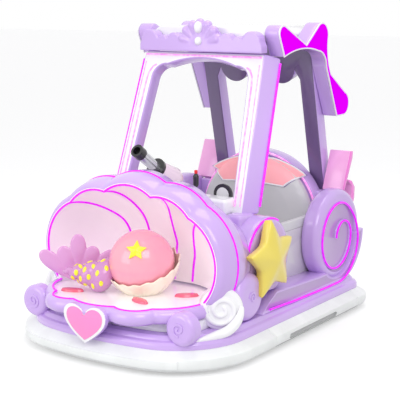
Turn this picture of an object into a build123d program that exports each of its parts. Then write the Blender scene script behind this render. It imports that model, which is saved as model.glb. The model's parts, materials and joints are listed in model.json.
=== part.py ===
# Battery bumper car of the parent-and-child kind, with a seashell nose.
# Millimetres. +X is the car's left side, -Y its nose, +Z up; the origin lies on the floor
# under the middle of the car.
from build123d import *
import math
import os

os.makedirs("parts", exist_ok=True)

# ---- driving dimensions ----
ring_width = 1200          # over the rubber bumper
ring_length = 1660
ring_floor_gap = 22        # bumper's lower edge above the floor
ring_top = 104
ring_depth = 60            # how far the bumper reaches in from its rubbing face
nose_bow = 1690            # radius of the bowed nose seen from above
tail_bow = 6000
nose_corner = 400
tail_corner = 150
seam_gap = 3               # between two bumper lengths
nose_seam = -205           # where the nose length of the bumper ends
tail_seam = 610
slot_rear, slot_front = 372, -90      # hand slot low in each side length
slot_mid, slot_high, slot_deep = 46, 24, 12
pad_half, pad_low, pad_high, pad_proud = 430, 38, 34, 6      # raised pad across the nose
fit_gap = 0.3              # between curved faces that seat on each other

deck_top = 160             # cabin floor
deck_skin = 5
deck_wall = 18
plate_low = 96             # underside of the steel chassis plate
plate_high = ring_top

wheel_radius = 70
wheel_width = 42
axle_radius = 8
hub_gap = 0.08             # running clearance round an axle or king pin
wheel_x, wheel_y = 400, 380
wheel_side_gap = 7
bracket_thick = 8
bracket_long = 64
caster_x, caster_y = 330, -ring_length / 2 + 350
caster_radius = 31
caster_width = 24
caster_trail = 26
caster_crown = 8
caster_plate = 84
king_pin_radius = 6

tub_half = 400
nose_y = -ring_length / 2
tub_front, tub_rear = -215, ring_length / 2 - 190
tub_top = 462
tub_wall = 14
tub_corner = 60
lip_top = 508
lip_wide = 26

seat_front, seat_back_y = 235, tub_rear - 80
seat_high = 372

shell_open_y = nose_y + 300      # plane of the upper shell's mouth
tray_level = 268           # top of the lower shell's rim
tray_floor = 258

frame_lean = 18.7          # windscreen frame leans back
frame_foot_y, frame_foot_z = -155, 637
frame_run = 727            # from the foot line to the header's top edge, along the lean
tail_lean = 13.4           # rear frame leans forward
tail_foot_y, tail_foot_z = tub_rear + 95, 700

snail_x = 500              # outer face of the snail swirl on each side
snail_y, snail_z = tub_rear - 70, 396
snail_radius = 235

header_y = frame_foot_y + frame_run * math.sin(math.radians(frame_lean))
header_top = frame_foot_z + frame_run * math.cos(math.radians(frame_lean))
roof_under = header_top + 64
roof_top = roof_under + 56


def save(builder, name):
    builder.part.label = name
    export_step(builder.part, f"parts/{name}.step")


def plan(inset, level):
    """The car's outline from above, `inset` inside the rubbing face, at height `level`."""
    with BuildSketch(Plane.XY.offset(level)) as outline:
        Rectangle(ring_width - 2 * inset, ring_length + 100)
        with Locations((0, nose_bow - ring_length / 2)):
            Circle(nose_bow - inset, mode=Mode.INTERSECT)
        with Locations((0, ring_length / 2 - tail_bow)):
            Circle(tail_bow - inset, mode=Mode.INTERSECT)
        fillet(outline.vertices().group_by(Axis.Y)[0], nose_corner - inset)
        fillet(outline.vertices().group_by(Axis.Y)[-1], tail_corner - inset)
    return outline.sketch


def stack(sections):
    """Ruled loft through outlines given as (inset, level)."""
    loft([plan(inset, level) for inset, level in sections], ruled=True)


def slab(x_range, y_range, z_range, mode=Mode.ADD):
    """A block between three pairs of limits."""
    centre = [(low + high) / 2 for low, high in (x_range, y_range, z_range)]
    with Locations(tuple(centre)):
        Box(x_range[1] - x_range[0], y_range[1] - y_range[0], z_range[1] - z_range[0], mode=mode)


# ---- bumper: four soft lengths round the car ----
ring_sections = ((14, ring_floor_gap), (3, 34), (0, 50), (3, 74), (44, 98), (52, ring_top))
bumper_lengths = {
    # name: (x range, y range) of the length that is kept
    "bumper_front": ((-700, 700), (-900, nose_seam - seam_gap)),
    "bumper_rear": ((-700, 700), (tail_seam + seam_gap, 900)),
    "bumper_left": ((0, 700), (nose_seam, tail_seam)),
    "bumper_right": ((-700, 0), (nose_seam, tail_seam)),
}
for name, (x_keep, y_keep) in bumper_lengths.items():
    with BuildPart() as bumper:
        stack(ring_sections)
        extrude(plan(ring_depth, 0), amount=2 * ring_top, mode=Mode.SUBTRACT)
        slab(x_keep, y_keep, (0, 200), mode=Mode.INTERSECT)
        if name == "bumper_front":
            with BuildSketch(Plane.XY.offset(pad_low)):
                add(plan(-pad_proud, pad_low))
                add(plan(ring_depth / 3, pad_low), mode=Mode.SUBTRACT)
                Rectangle(2 * pad_half, ring_length * 2, mode=Mode.INTERSECT)
                with Locations((0, ring_length / 2)):
                    Rectangle(ring_width * 2, ring_length, mode=Mode.SUBTRACT)
            extrude(amount=pad_high)
        if name in ("bumper_left", "bumper_right"):
            side = 1 if name == "bumper_left" else -1
            with BuildSketch(Plane.YZ.offset(side * ring_width / 2)):
                with Locations(((slot_front + slot_rear) / 2, slot_mid)):
                    SlotOverall(slot_rear - slot_front, slot_high)
            extrude(amount=-side * slot_deep, mode=Mode.SUBTRACT)
    save(bumper, name)

# ---- steel chassis: plate, drive axle brackets and caster plates ----
plate_thick = plate_high - plate_low
jack_pads = ((0, -240), (-240, 620), (240, 620))
jack_wide, jack_proud = 90, 6
bracket_x = wheel_width / 2 + wheel_side_gap + bracket_thick / 2
bracket_low = wheel_radius - axle_radius - 14
with BuildPart() as chassis:
    extrude(plan(ring_depth, plate_low), amount=plate_thick)
    for side in (-1, 1):
        # slot for the drive wheel, bracket plates either side of it and the axle between them
        slab(
            (side * wheel_x - wheel_width / 2 - wheel_side_gap, side * wheel_x + wheel_width / 2 + wheel_side_gap),
            (wheel_y - wheel_radius - 8, wheel_y + wheel_radius + 8),
            (plate_low, plate_high),
            mode=Mode.SUBTRACT,
        )
        for step in (-1, 1):
            x_mid = side * wheel_x + step * bracket_x
            slab(
                (x_mid - bracket_thick / 2, x_mid + bracket_thick / 2),
                (wheel_y - bracket_long / 2, wheel_y + bracket_long / 2),
                (bracket_low, plate_high),
            )
        with Locations(Location((side * wheel_x, wheel_y, wheel_radius), (0, 90, 0))):
            Cylinder(axle_radius, 2 * bracket_x + bracket_thick)
        # caster's fixed plate and king pin
        slab(
            (side * caster_x - caster_plate / 2, side * caster_x + caster_plate / 2),
            (caster_y - caster_plate / 2, caster_y + caster_plate / 2),
            (plate_low - 6, plate_low),
        )
        with Locations((side * caster_x, caster_y, plate_low - 6 - caster_crown / 2 - 1)):
            Cylinder(king_pin_radius, caster_crown + 2)
    # pads for a jack, one on the middle line and one near each rear corner
    for x, y in jack_pads:
        with Locations((x, y, plate_low - jack_proud / 2)):
            Box(jack_wide, jack_wide, jack_proud)
save(chassis, "chassis_frame")

battery_size = (360, 260, 60)
battery_place = (0, 330, 24)
with BuildPart() as battery:
    with Locations((battery_place[0], battery_place[1], plate_low - battery_size[2] / 2)):
        Box(*battery_size)
    fillet(battery.edges().filter_by(Axis.Z), 8)
save(battery, "battery_pack")

# ---- wheels ----
for name, side in (("drive_wheel_left", 1), ("drive_wheel_right", -1)):
    with BuildPart() as wheel:
        with BuildSketch(Plane.XY):
            # half section: x along the axle, y outwards
            with BuildLine():
                Polyline(
                    (-wheel_width / 2, axle_radius + hub_gap), (-wheel_width / 2, 26), (-wheel_width / 2 + 6, 32),
                    (-wheel_width / 2 + 6, 48), (-wheel_width / 2, 52), (-wheel_width / 2, wheel_radius - 10),
                    (-wheel_width / 2 + 8, wheel_radius), (wheel_width / 2 - 8, wheel_radius),
                    (wheel_width / 2, wheel_radius - 10), (wheel_width / 2, 52), (wheel_width / 2 - 6, 48),
                    (wheel_width / 2 - 6, 32), (wheel_width / 2, 26), (wheel_width / 2, axle_radius + hub_gap),
                    close=True,
                )
            make_face()
        revolve(axis=Axis.X)
    wheel.part.locate(Location((side * wheel_x, wheel_y, wheel_radius)))
    save(wheel, name)

crown_top = plate_low - 6 - 0.4
leg_x = caster_width / 2 + 6.5
axle_y = caster_y + caster_trail
for name, side in (("left", 1), ("right", -1)):
    x_mid = side * caster_x
    with BuildPart() as fork:
        with BuildSketch(Plane.XY.offset(crown_top - caster_crown)):
            with Locations((x_mid, caster_y)):
                Circle(26)
            with Locations((x_mid, caster_y + caster_trail / 2)):
                Rectangle(2 * leg_x + 6, caster_trail + 30)
            with Locations((x_mid, caster_y)):
                Circle(king_pin_radius + hub_gap, mode=Mode.SUBTRACT)
        extrude(amount=caster_crown)
        for step in (-1, 1):
            with BuildSketch(Plane.YZ.offset(x_mid + step * leg_x - 1.5)):
                with BuildLine():
                    Polyline(
                        (caster_y - 12, crown_top - caster_crown), (caster_y + caster_trail + 15, crown_top - caster_crown),
                        (axle_y + 11, caster_radius), (axle_y + 6, caster_radius - 10), (axle_y - 6, caster_radius - 10),
                        (axle_y - 11, caster_radius), close=True,
                    )
                make_face()
            extrude(amount=3)
        with Locations(Location((x_mid, axle_y, caster_radius), (0, 90, 0))):
            Cylinder(4, 2 * leg_x + 3)
    save(fork, f"caster_fork_{name}")
    with BuildPart() as caster:
        with BuildSketch(Plane.XY):
            with BuildLine():
                Polyline(
                    (-caster_width / 2, 4 + hub_gap), (-caster_width / 2, caster_radius - 4),
                    (-caster_width / 2 + 4, caster_radius), (caster_width / 2 - 4, caster_radius),
                    (caster_width / 2, caster_radius - 4), (caster_width / 2, 4 + hub_gap), close=True,
                )
            make_face()
        revolve(axis=Axis.X)
    caster.part.locate(Location((x_mid, axle_y, caster_radius)))
    save(caster, f"caster_wheel_{name}")

# ---- lavender deck over the chassis, stepped round its edge ----
deck_sections = ((50, ring_top), (50, 124), (58, 136), (72, 141), (75, 150), (86, deck_top))
with BuildPart() as deck:
    stack(deck_sections)
    extrude(plan(50 + deck_wall, ring_top - 1), amount=21, mode=Mode.SUBTRACT)
    extrude(plan(94, ring_top), amount=deck_top - deck_skin - ring_top, mode=Mode.SUBTRACT)
save(deck, "deck")

# ---- white tub round the cabin, its grey coaming and the seat ----
tub_long = tub_rear - tub_front
tub_mid = (tub_front + tub_rear) / 2
with BuildPart() as tub:
    with BuildSketch(Plane.XY.offset(deck_top)):
        with Locations((0, tub_mid)):
            RectangleRounded(2 * tub_half, tub_long, tub_corner)
            RectangleRounded(
                2 * (tub_half - tub_wall), tub_long - 2 * tub_wall, tub_corner - tub_wall, mode=Mode.SUBTRACT
            )
    extrude(amount=tub_top - deck_top)
    # hand recess in each flank
    for side in (-1, 1):
        with BuildSketch(Plane.YZ.offset(side * tub_half)):
            with Locations((122, 352)):
                SlotOverall(84, 24)
        extrude(amount=-side * 7, mode=Mode.SUBTRACT)
save(tub, "tub")

with BuildPart() as lip:
    with BuildSketch(Plane.XY.offset(tub_top)):
        with Locations((0, tub_mid)):
            RectangleRounded(2 * tub_half, tub_long, tub_corner)
            RectangleRounded(2 * (tub_half - lip_wide), tub_long - 2 * lip_wide, 14, mode=Mode.SUBTRACT)
        with Locations((0, tub_front)):
            Rectangle(2 * ring_width, 2 * 110, mode=Mode.SUBTRACT)
    extrude(amount=lip_top - tub_top)
    fillet(lip.faces().sort_by(Axis.Z)[-1].edges().filter_by(GeomType.LINE), 6)
save(lip, "tub_lip")

inner_half = tub_half - lip_wide - 4
with BuildPart() as cushion:
    slab((-inner_half, inner_half), (seat_front, seat_back_y), (deck_top, seat_high))
    fillet(cushion.faces().sort_by(Axis.Z)[-1].edges(), 22)
save(cushion, "seat_cushion")


def clear_of_deck():
    """Cut the deck's outer form, with its fitting gap, out of the part in hand."""
    loft([plan(inset - fit_gap, level) for inset, level in deck_sections], ruled=True, mode=Mode.SUBTRACT)


# ---- nose: white body, lower shell, upper shell with its lining ----
tray_low = 206
nose_half = 425
with BuildPart() as nose:
    loft([plan(128, deck_top), plan(146, tray_low)], ruled=True)
    slab((-nose_half, nose_half), (-900, tub_front), (deck_top, tray_low), mode=Mode.INTERSECT)
save(nose, "nose_body")

tray_back = tub_front
tray_side_y = nose_y + 330
tray_lobes = (
    # start, crown, end of each lobe on the car's left (x, y)
    ((116, nose_y + 60), (205, nose_y + 44), (272, nose_y + 122)),
    ((272, nose_y + 122), (335, nose_y + 168), (402, tray_side_y)),
)


def tray_outline(grow, level):
    """Lobed lower shell seen from above; `grow` is measured out from its light strip."""
    with BuildSketch(Plane.XY.offset(level)) as outline:
        with BuildLine():
            ThreePointArc((-116, nose_y + 60), (0, nose_y + 30), (116, nose_y + 60))
            for points in tray_lobes:
                ThreePointArc(*points)
                ThreePointArc(*[(-x, y) for x, y in points])
            Polyline((402, tray_side_y), (402, tray_back + 60), (-402, tray_back + 60), (-402, tray_side_y))
        make_face()
        offset(amount=grow)
        with Locations((0, tray_back + 500)):
            Rectangle(2000, 1000, mode=Mode.SUBTRACT)
    return outline.sketch


tray_sections = ((16, tray_low), (34, 220), (38, 238), (33, 257), (20, tray_level))


def tray_form(grow, mode):
    """The lower shell's outer form, grown by `grow`."""
    loft([tray_outline(out + grow, level) for out, level in tray_sections], ruled=True, mode=mode)


with BuildPart() as tray:
    tray_form(0, Mode.ADD)
    extrude(tray_outline(-4, tray_floor), amount=50, mode=Mode.SUBTRACT)
save(tray, "shell_tray")

mouth_lobes = (
    # start, crown, end of each lobe on the car's left (x, height over the tray)
    ((131, 446), (246, 438), (334, 375)),
    ((334, 375), (460, 250), (408, 0)),
)


def shell_outline(y_place, grow, wide=1.0, tall=1.0):
    """Lobed upper shell seen from the front, shrunk towards its hinge by `wide` and `tall`."""
    with BuildSketch(Plane.XZ.offset(-y_place)) as outline:
        with BuildLine():
            ThreePointArc(*[(x * wide, tray_level + z * tall) for x, z in ((-131, 446), (0, 489), (131, 446))])
            for points in mouth_lobes:
                ThreePointArc(*[(x * wide, tray_level + z * tall) for x, z in points])
                ThreePointArc(*[(-x * wide, tray_level + z * tall) for x, z in points])
            foot = 408 * wide
            Polyline((foot, tray_level), (foot, tray_level - 80), (-foot, tray_level - 80), (-foot, tray_level))
        make_face()
        offset(amount=grow)
        with Locations((0, tray_level - 500)):
            Rectangle(2000, 1000, mode=Mode.SUBTRACT)
    return outline.sketch


cavity_sections = (
    # depth, share of the width, share of the height
    (shell_open_y, 1.0, 1.0), (shell_open_y + 100, 0.95, 0.95), (shell_open_y + 200, 0.80, 0.76),
    (tub_front - 33, 0.42, 0.40),
)
lining_thick = 8


def cavity(grow, mode):
    """The scalloped hollow of the upper shell, its wall moved out by `grow`."""
    places = [cavity_sections[0][0] - 0.5] + [y for y, wide, tall in cavity_sections[1:]]
    shares = [(wide, tall) for y, wide, tall in cavity_sections]
    loft([shell_outline(y, grow, wide, tall) for y, (wide, tall) in zip(places, shares)], mode=mode)


shell_sections = (
    # depth, growth out from the mouth's edge, share of the width, share of the height
    (shell_open_y, 14, 1, 1), (shell_open_y + 22, 32, 1, 1), (shell_open_y + 80, 48, 1, 1),
    (shell_open_y + 160, 50, 1, 1), (tub_front, 40, 0.93, 0.76),
)


def shell_form(grow, mode):
    """The upper shell's outer form, grown by `grow`."""
    loft([shell_outline(y, out + grow, wide, tall) for y, out, wide, tall in shell_sections], ruled=True, mode=mode)


with BuildPart() as shell:
    shell_form(0, Mode.ADD)
    cavity(lining_thick + fit_gap, Mode.SUBTRACT)
save(shell, "shell_upper")

with BuildPart() as lining:
    cavity(lining_thick, Mode.ADD)
    cavity(0, Mode.SUBTRACT)
save(lining, "shell_lining")

# ---- ornaments round the nose ----
heart_y, heart_high = nose_y - 8, 196
with BuildPart() as heart:
    with BuildSketch(Plane.XZ.offset(-heart_y - 26)):
        with BuildLine():
            for side in (-1, 1):
                Bezier(
                    (0, heart_high + 36), (side * 40, heart_high + 106), (side * 150, heart_high + 76),
                    (side * 108, heart_high - 4),
                )
                Bezier((side * 108, heart_high - 4), (side * 80, heart_high - 48), (0, heart_high - 92))
        make_face()
    extrude(amount=26)
    with BuildSketch(Plane.XZ.offset(-heart_y - 26)):
        with Locations((0, heart_high - 20)):
            Rectangle(70, 90)
    extrude(amount=-14)
    clear_of_deck()
    tray_form(fit_gap, Mode.SUBTRACT)
save(heart, "heart_badge")


def spiral(centre, radii, start):
    """Half-turn arcs of growing radius, each starting where the last ended."""
    x, y = centre
    angle = start
    for radius, following in zip(radii, radii[1:] + (None,)):
        CenterArc((x, y), radius, angle, 180)
        angle += 180
        if following:
            step = following - radius
            x -= step * math.cos(math.radians(angle))
            y -= step * math.sin(math.radians(angle))


def facing(x, y, z, turn):
    """Upright plane at a place, facing the nose at 0 degrees and the car's left at 90."""
    turn = math.radians(turn)
    return Plane(origin=(x, y, z), x_dir=(math.cos(turn), math.sin(turn), 0), z_dir=(math.sin(turn), -math.cos(turn), 0))


def scroll_disc(plane, radius, thick, edge, ridge_radii, ridge_wide, ridge_high, start=0):
    """Round scroll with a raised spiral on its outer face; the plane lies on its back."""
    with BuildPart() as scroll:
        with BuildSketch(plane):
            Circle(radius)
        extrude(amount=thick)
        fillet(scroll.faces().sort_by(Axis(plane.origin, plane.z_dir))[-1].edges(), edge)
        with BuildSketch(plane.offset(thick - 0.5)):
            with BuildLine() as line:
                spiral((0, 0), ridge_radii, start)
            trace(line_width=ridge_wide)
        extrude(amount=ridge_high + 0.5)
    return scroll.part


nose_scroll_at, nose_scroll_radius, nose_scroll_thick = (412, nose_y + 180, 198), 74, 62
nose_scroll = scroll_disc(facing(*nose_scroll_at, 0), nose_scroll_radius, nose_scroll_thick, 24, (9, 18, 27), 9, 4, 90)
with BuildPart() as nose_scrolls:
    add(nose_scroll)
    mirror(about=Plane.YZ)
    clear_of_deck()
    tray_form(fit_gap, Mode.SUBTRACT)
save(nose_scrolls, "nose_scrolls")

ball_y, ball_z, ball_radius, ball_in, ball_out = tub_front - 103, deck_top + 112, 110, 440, 534
ball_scroll = scroll_disc(
    facing(ball_in, ball_y, ball_z, 90), ball_radius, ball_out - ball_in, 40, (8, 15, 22), 9, 4, 0
)
with BuildPart() as ball_scrolls:
    add(ball_scroll)
    shell_form(fit_gap, Mode.SUBTRACT)
    tray_form(fit_gap, Mode.SUBTRACT)
    mirror(about=Plane.YZ)
save(ball_scrolls, "ball_scrolls")

swirl_turn, swirl_radius, swirl_thick = 40, 88, 70
swirl_back = facing(433, nose_y + 409, 250, swirl_turn)
corner_swirl = scroll_disc(swirl_back, swirl_radius, swirl_thick, 30, (10, 20, 31), 11, 5, 90)
with BuildPart() as swirl:
    add(corner_swirl)
    slab((0, nose_half + fit_gap), (-900, 0), (0, tray_low + fit_gap), mode=Mode.SUBTRACT)
    shell_form(fit_gap, Mode.SUBTRACT)
    cavity(lining_thick + fit_gap, Mode.SUBTRACT)
    clear_of_deck()
    tray_form(fit_gap, Mode.SUBTRACT)
    with BuildSketch(Plane.YZ.offset(ball_in - 1)):
        with Locations((ball_y, ball_z)):
            Circle(ball_radius + fit_gap)
    extrude(amount=ball_out - ball_in, mode=Mode.SUBTRACT)
with BuildPart() as corner_swirls:
    add(swirl.part.solids().sort_by(SortBy.VOLUME)[-1])
    mirror(about=Plane.YZ)
save(corner_swirls, "corner_swirls")

# ---- sills, fender domes with their stars, snail swirls ----
sill_out = 520
sill_front, sill_rear = -200, 335
with BuildPart() as sills:
    with BuildSketch(Plane.YZ.offset(tub_half)):
        with BuildLine():
            Polyline(
                (sill_front, deck_top), (sill_front, 240), (-160, 262), (-74, 254), (246, 233), (sill_rear, 228),
                (sill_rear, deck_top), close=True,
            )
        make_face()
    extrude(amount=sill_out - tub_half)
    mirror(about=Plane.YZ)
save(sills, "sill_panels")

dome_y, dome_z, dome_radius, dome_out = -112, 413, 186, 500
with BuildPart() as domes:
    with BuildSketch(Plane.YZ.offset(tub_half)):
        with Locations((dome_y, dome_z)):
            Circle(dome_radius)
    extrude(amount=dome_out - tub_half)
    fillet(domes.faces().sort_by(Axis.X)[-1].edges(), 34)
    with BuildSketch(Plane.YZ.offset(tub_half - 1)):
        with BuildLine():
            Polyline((sill_front - 100, 0), (sill_front - 100, 300), (-160, 262.3), (-74, 254.3), (246, 233.3), (246, 0), close=True)
        make_face()
        with Locations((ball_y, ball_z)):
            Circle(ball_radius + fit_gap)
    extrude(amount=200, mode=Mode.SUBTRACT)
    shell_form(fit_gap, Mode.SUBTRACT)
    mirror(about=Plane.YZ)
save(domes, "fender_domes")

star_y, star_z, star_radius = -116, 412, 196
star_waist, star_turn = 0.46, 6
with BuildPart() as stars:
    for grow, x in ((1.0, sill_out), (0.1, sill_out + 50)):
        with BuildSketch(Plane.YZ.offset(x)):
            with Locations(Location((star_y, star_z), star_turn)):
                points = [
                    (
                        grow * star_radius * (1 if i % 2 == 0 else star_waist) * math.sin(math.pi * i / 5),
                        grow * star_radius * (1 if i % 2 == 0 else star_waist) * math.cos(math.pi * i / 5),
                    )
                    for i in range(10)
                ]
                Polygon(*points, align=None)
    loft(ruled=True)
    # boss that stands the star off the dome
    with BuildSketch(Plane.YZ.offset(dome_out)):
        with Locations((star_y, star_z)):
            Circle(60)
    extrude(amount=sill_out - dome_out)
    mirror(about=Plane.YZ)
save(stars, "side_stars")

with BuildPart() as snails:
    with BuildSketch(Plane.YZ.offset(tub_half)):
        with Locations((snail_y, snail_z)):
            Circle(snail_radius)
    extrude(amount=snail_x - tub_half)
    fillet(snails.faces().sort_by(Axis.X)[-1].edges(), 52)
    with BuildSketch(Plane.YZ.offset(snail_x - 2)):
        with BuildLine():
            spiral((snail_y, snail_z + 20), (30, 66, 100, 136, 172), -90)
        trace(line_width=12)
    extrude(amount=6)
    slab((0, 600), (0, sill_rear + fit_gap), (0, 600), mode=Mode.SUBTRACT)
    mirror(about=Plane.YZ)
save(snails, "snail_swirls")

# ---- dash and windscreen frame ----
dash_front, dash_rear = tub_front + 0.5, -108
dash_top, shoulder, shoulder_in = 672, 600, 296
with BuildPart() as dash:
    with BuildSketch(Plane.XZ.offset(-dash_rear)):
        with BuildLine():
            Polyline(
                (-tub_half, tub_top), (-tub_half, shoulder), (-shoulder_in, shoulder), (-shoulder_in, shoulder + 30),
                (-shoulder_in + 42, dash_top), (shoulder_in - 42, dash_top), (shoulder_in, shoulder + 30),
                (shoulder_in, shoulder), (tub_half, shoulder), (tub_half, tub_top), close=True,
            )
        make_face()
    extrude(amount=dash_rear - dash_front)
save(dash, "dash")

lean = Plane(origin=(0, frame_foot_y, frame_foot_z), x_dir=(1, 0, 0), z_dir=(0, -math.cos(math.radians(frame_lean)), math.sin(math.radians(frame_lean))))
frame_deep = 74
face_foot, face_top, back_foot, back_top = 376, 340, 426, 396
open_foot, open_top, open_high = 316, 276, 664
with BuildPart() as screen_frame:
    for level, foot_half, top_half in ((0, face_foot, face_top), (-frame_deep, back_foot, back_top)):
        with BuildSketch(lean.offset(level)):
            with BuildLine():
                grow = (foot_half - top_half) / frame_run
                Polyline(
                    (-foot_half - 90 * grow, -90), (-top_half, frame_run), (top_half, frame_run),
                    (foot_half + 90 * grow, -90), close=True,
                )
            make_face()
    loft(ruled=True)
    with BuildSketch(lean.offset(1)):
        with BuildLine():
            grow = (open_foot - open_top) / open_high
            Line((-open_foot - 120 * grow, -120), (-open_top, open_high - 70))
            TangentArc((-open_top, open_high - 70), (-open_top + 78, open_high - 6), tangent=(-grow * -1, 1))
            ThreePointArc((-open_top + 78, open_high - 6), (0, open_high + 30), (open_top - 78, open_high - 6))
            TangentArc((open_top, open_high - 70), (open_top - 78, open_high - 6), tangent=(-grow, 1))
            Line((open_top, open_high - 70), (open_foot + 120 * grow, -120))
            Line((open_foot + 120 * grow, -120), (-open_foot - 120 * grow, -120))
        make_face()
    extrude(amount=-frame_deep - 2, mode=Mode.SUBTRACT)
    slab((-600, 600), (-600, 600), (0, shoulder), mode=Mode.SUBTRACT)
save(screen_frame, "windscreen_frame")

# ---- crown over the windscreen ----
crown_front, crown_deep = header_y - 42, 58
crown_lobes = (
    # start, crown, end of each lobe on the car's left (x, height over the header)
    ((124, 78), (196, 114), (256, 72)),
    ((256, 72), (300, 94), (338, 60)),
)
with BuildPart() as crown:
    with BuildSketch(Plane.XZ.offset(-crown_front)):
        with BuildLine():
            ThreePointArc(*[(x, header_top + z) for x, z in ((-124, 78), (0, 160), (124, 78))])
            for points in crown_lobes:
                ThreePointArc(*[(x, header_top + z) for x, z in points])
                ThreePointArc(*[(-x, header_top + z) for x, z in points])
            ends = ((338, 60), (face_top + 12, fit_gap), (-face_top - 12, fit_gap), (-338, 60))
            Polyline(*[(x, header_top + z) for x, z in ends])
        make_face()
    extrude(amount=-crown_deep)
save(crown, "crown")

with BuildPart() as crown_pearls:
    for over, across, high in ((117, 44, 58), (52, 38, 42)):
        z = header_top + over
        with BuildSketch(Plane.XZ.offset(-crown_front)):
            with Locations((0, z)):
                Ellipse(across / 2, high / 2)
            with Locations((-100, z)):
                Rectangle(200, 200, mode=Mode.SUBTRACT)
        revolve(axis=Axis((0, crown_front, 0), (0, 0, 1)))
    slab((-50, 50), (crown_front, crown_front + 100), (header_top, header_top + 200), mode=Mode.SUBTRACT)
save(crown_pearls, "crown_pearls")

# ---- roof, rear body, rear frame ----
roof_half, roof_front, roof_rear = 330, crown_front + crown_deep, tub_rear
with BuildPart() as roof:
    with BuildSketch(Plane.XZ.offset(-roof_front)):
        with BuildLine():
            Polyline(
                (-roof_half, roof_under), (-roof_half, roof_under + 22), (-roof_half + 60, roof_top),
                (roof_half - 60, roof_top), (roof_half, roof_under + 22), (roof_half, roof_under), close=True,
            )
        make_face()
    extrude(amount=roof_front - roof_rear)
save(roof, "roof_panel")

back_radius, back_centre = 358, 432
cowl_front, dome_rear, body_rear, shoulder_top = tub_rear - lip_wide, tub_rear + 54, tub_rear + 152, 596
with BuildPart() as rear_body:
    slab((-tub_half, tub_half), (tub_rear, body_rear), (deck_top, shoulder_top))
    fillet(rear_body.faces().sort_by(Axis.Y)[-1].edges(), 40)
    with BuildSketch(Plane.XZ.offset(-cowl_front)):
        with Locations((0, back_centre)):
            Circle(back_radius)
        with Locations((0, lip_top - 500)):
            Rectangle(2000, 1000, mode=Mode.SUBTRACT)
    extrude(amount=cowl_front - dome_rear)
save(rear_body, "rear_body")

tail = Plane(
    origin=(0, tail_foot_y, tail_foot_z), x_dir=(1, 0, 0),
    z_dir=(0, -math.cos(math.radians(tail_lean)), -math.sin(math.radians(tail_lean))),
)
tail_deep, tail_out, tail_in = 78, roof_half - fit_gap, 250
tail_window = roof_under - tail_foot_z - 220      # height of the opening over the foot line
tail_run = roof_under - tail_foot_z + 70
scallop_x, scallop_radius = 140, 84
with BuildPart() as rear_frame:
    with BuildSketch(tail.offset(tail_deep / 2)):
        with Locations((0, tail_run / 2 - 130)):
            Rectangle(2 * tail_out, tail_run + 260)
        with Locations((0, (tail_window - 200) / 2 + 30)):
            RectangleRounded(2 * tail_in, tail_window + 140, 66, mode=Mode.SUBTRACT)
        for side in (-1, 1):
            with Locations((side * scallop_x, tail_window + 96)):
                Circle(scallop_radius)
        with Locations((0, -200)):
            Rectangle(2 * tail_in, 300, mode=Mode.SUBTRACT)
    extrude(amount=-tail_deep)
    slab((-600, 600), (300, 1200), (roof_under, 2000), mode=Mode.SUBTRACT)
    slab((-600, 600), (300, 1200), (0, shoulder_top), mode=Mode.SUBTRACT)
save(rear_frame, "rear_frame")

# ---- bow on each side of the roof ----
bow_in, bow_out, bow_skin = roof_half, 408, 6


bow_curves = (
    # side view of half the bow, as (y, z) from the header and the roof's underside: two lobes over
    # the roof, a waist and a flared tail; three points make an arc, two a straight edge
    ((68, -83), (22, 10)),
    ((22, 10), (34, 58), (78, 60)),
    ((78, 60), (278, -31)),
    ((278, -31), (390, 54)),
    ((390, 54), (462, 66), (498, 6)),
    ((498, 6), (499, -100), (534, -185)),
    ((534, -185), (694, -286)),
    ((694, -286), (737, -350), (672, -404)),
    ((672, -404), (606, -405)),
    ((606, -405), (484, -150)),
    ((484, -150), (460, -94), (402, -68)),
    ((402, -68), (236, -51), (68, -83)),
)


def bow_outline(x):
    """Side view of half the bow, drawn at the given distance from the middle plane."""
    with BuildSketch(Plane.YZ.offset(x)) as outline:
        with BuildLine():
            for curve in bow_curves:
                points = [(header_y + y, roof_under + z) for y, z in curve]
                if len(points) == 3:
                    ThreePointArc(*points)
                else:
                    Line(*points)
        make_face()
    return outline.sketch


with BuildPart() as bow:
    extrude(bow_outline(bow_in), amount=bow_out - bow_in)
    mirror(about=Plane.YZ)
save(bow, "bow_sides")
with BuildPart() as bow_panel:
    extrude(bow_outline(bow_out), amount=bow_skin)
    mirror(about=Plane.YZ)
save(bow_panel, "bow_panels")

# ---- seat back with its panel ----
back_front = 540
with BuildPart() as seat_back:
    with BuildSketch(Plane.XZ.offset(-back_front)):
        with Locations((0, back_centre)):
            Circle(back_radius - 6)
        with Locations((0, seat_high - 500)):
            Rectangle(2000, 1000, mode=Mode.SUBTRACT)
    extrude(amount=back_front - cowl_front + fit_gap)
save(seat_back, "seat_back")

with BuildPart() as seat_panel:
    with BuildSketch(Plane.XZ.offset(-back_front)):
        with BuildLine():
            ThreePointArc((-304, 676), (0, 742), (304, 676))
            for side in (-1, 1):
                ThreePointArc((side * 304, 676), (side * 232, 650), (side * 176, 611))
                Line((side * 176, 611), (side * 108, 631))
            ThreePointArc((-108, 631), (0, 606), (108, 631))
        make_face()
    extrude(amount=7)
save(seat_panel, "seat_panel")

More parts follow.
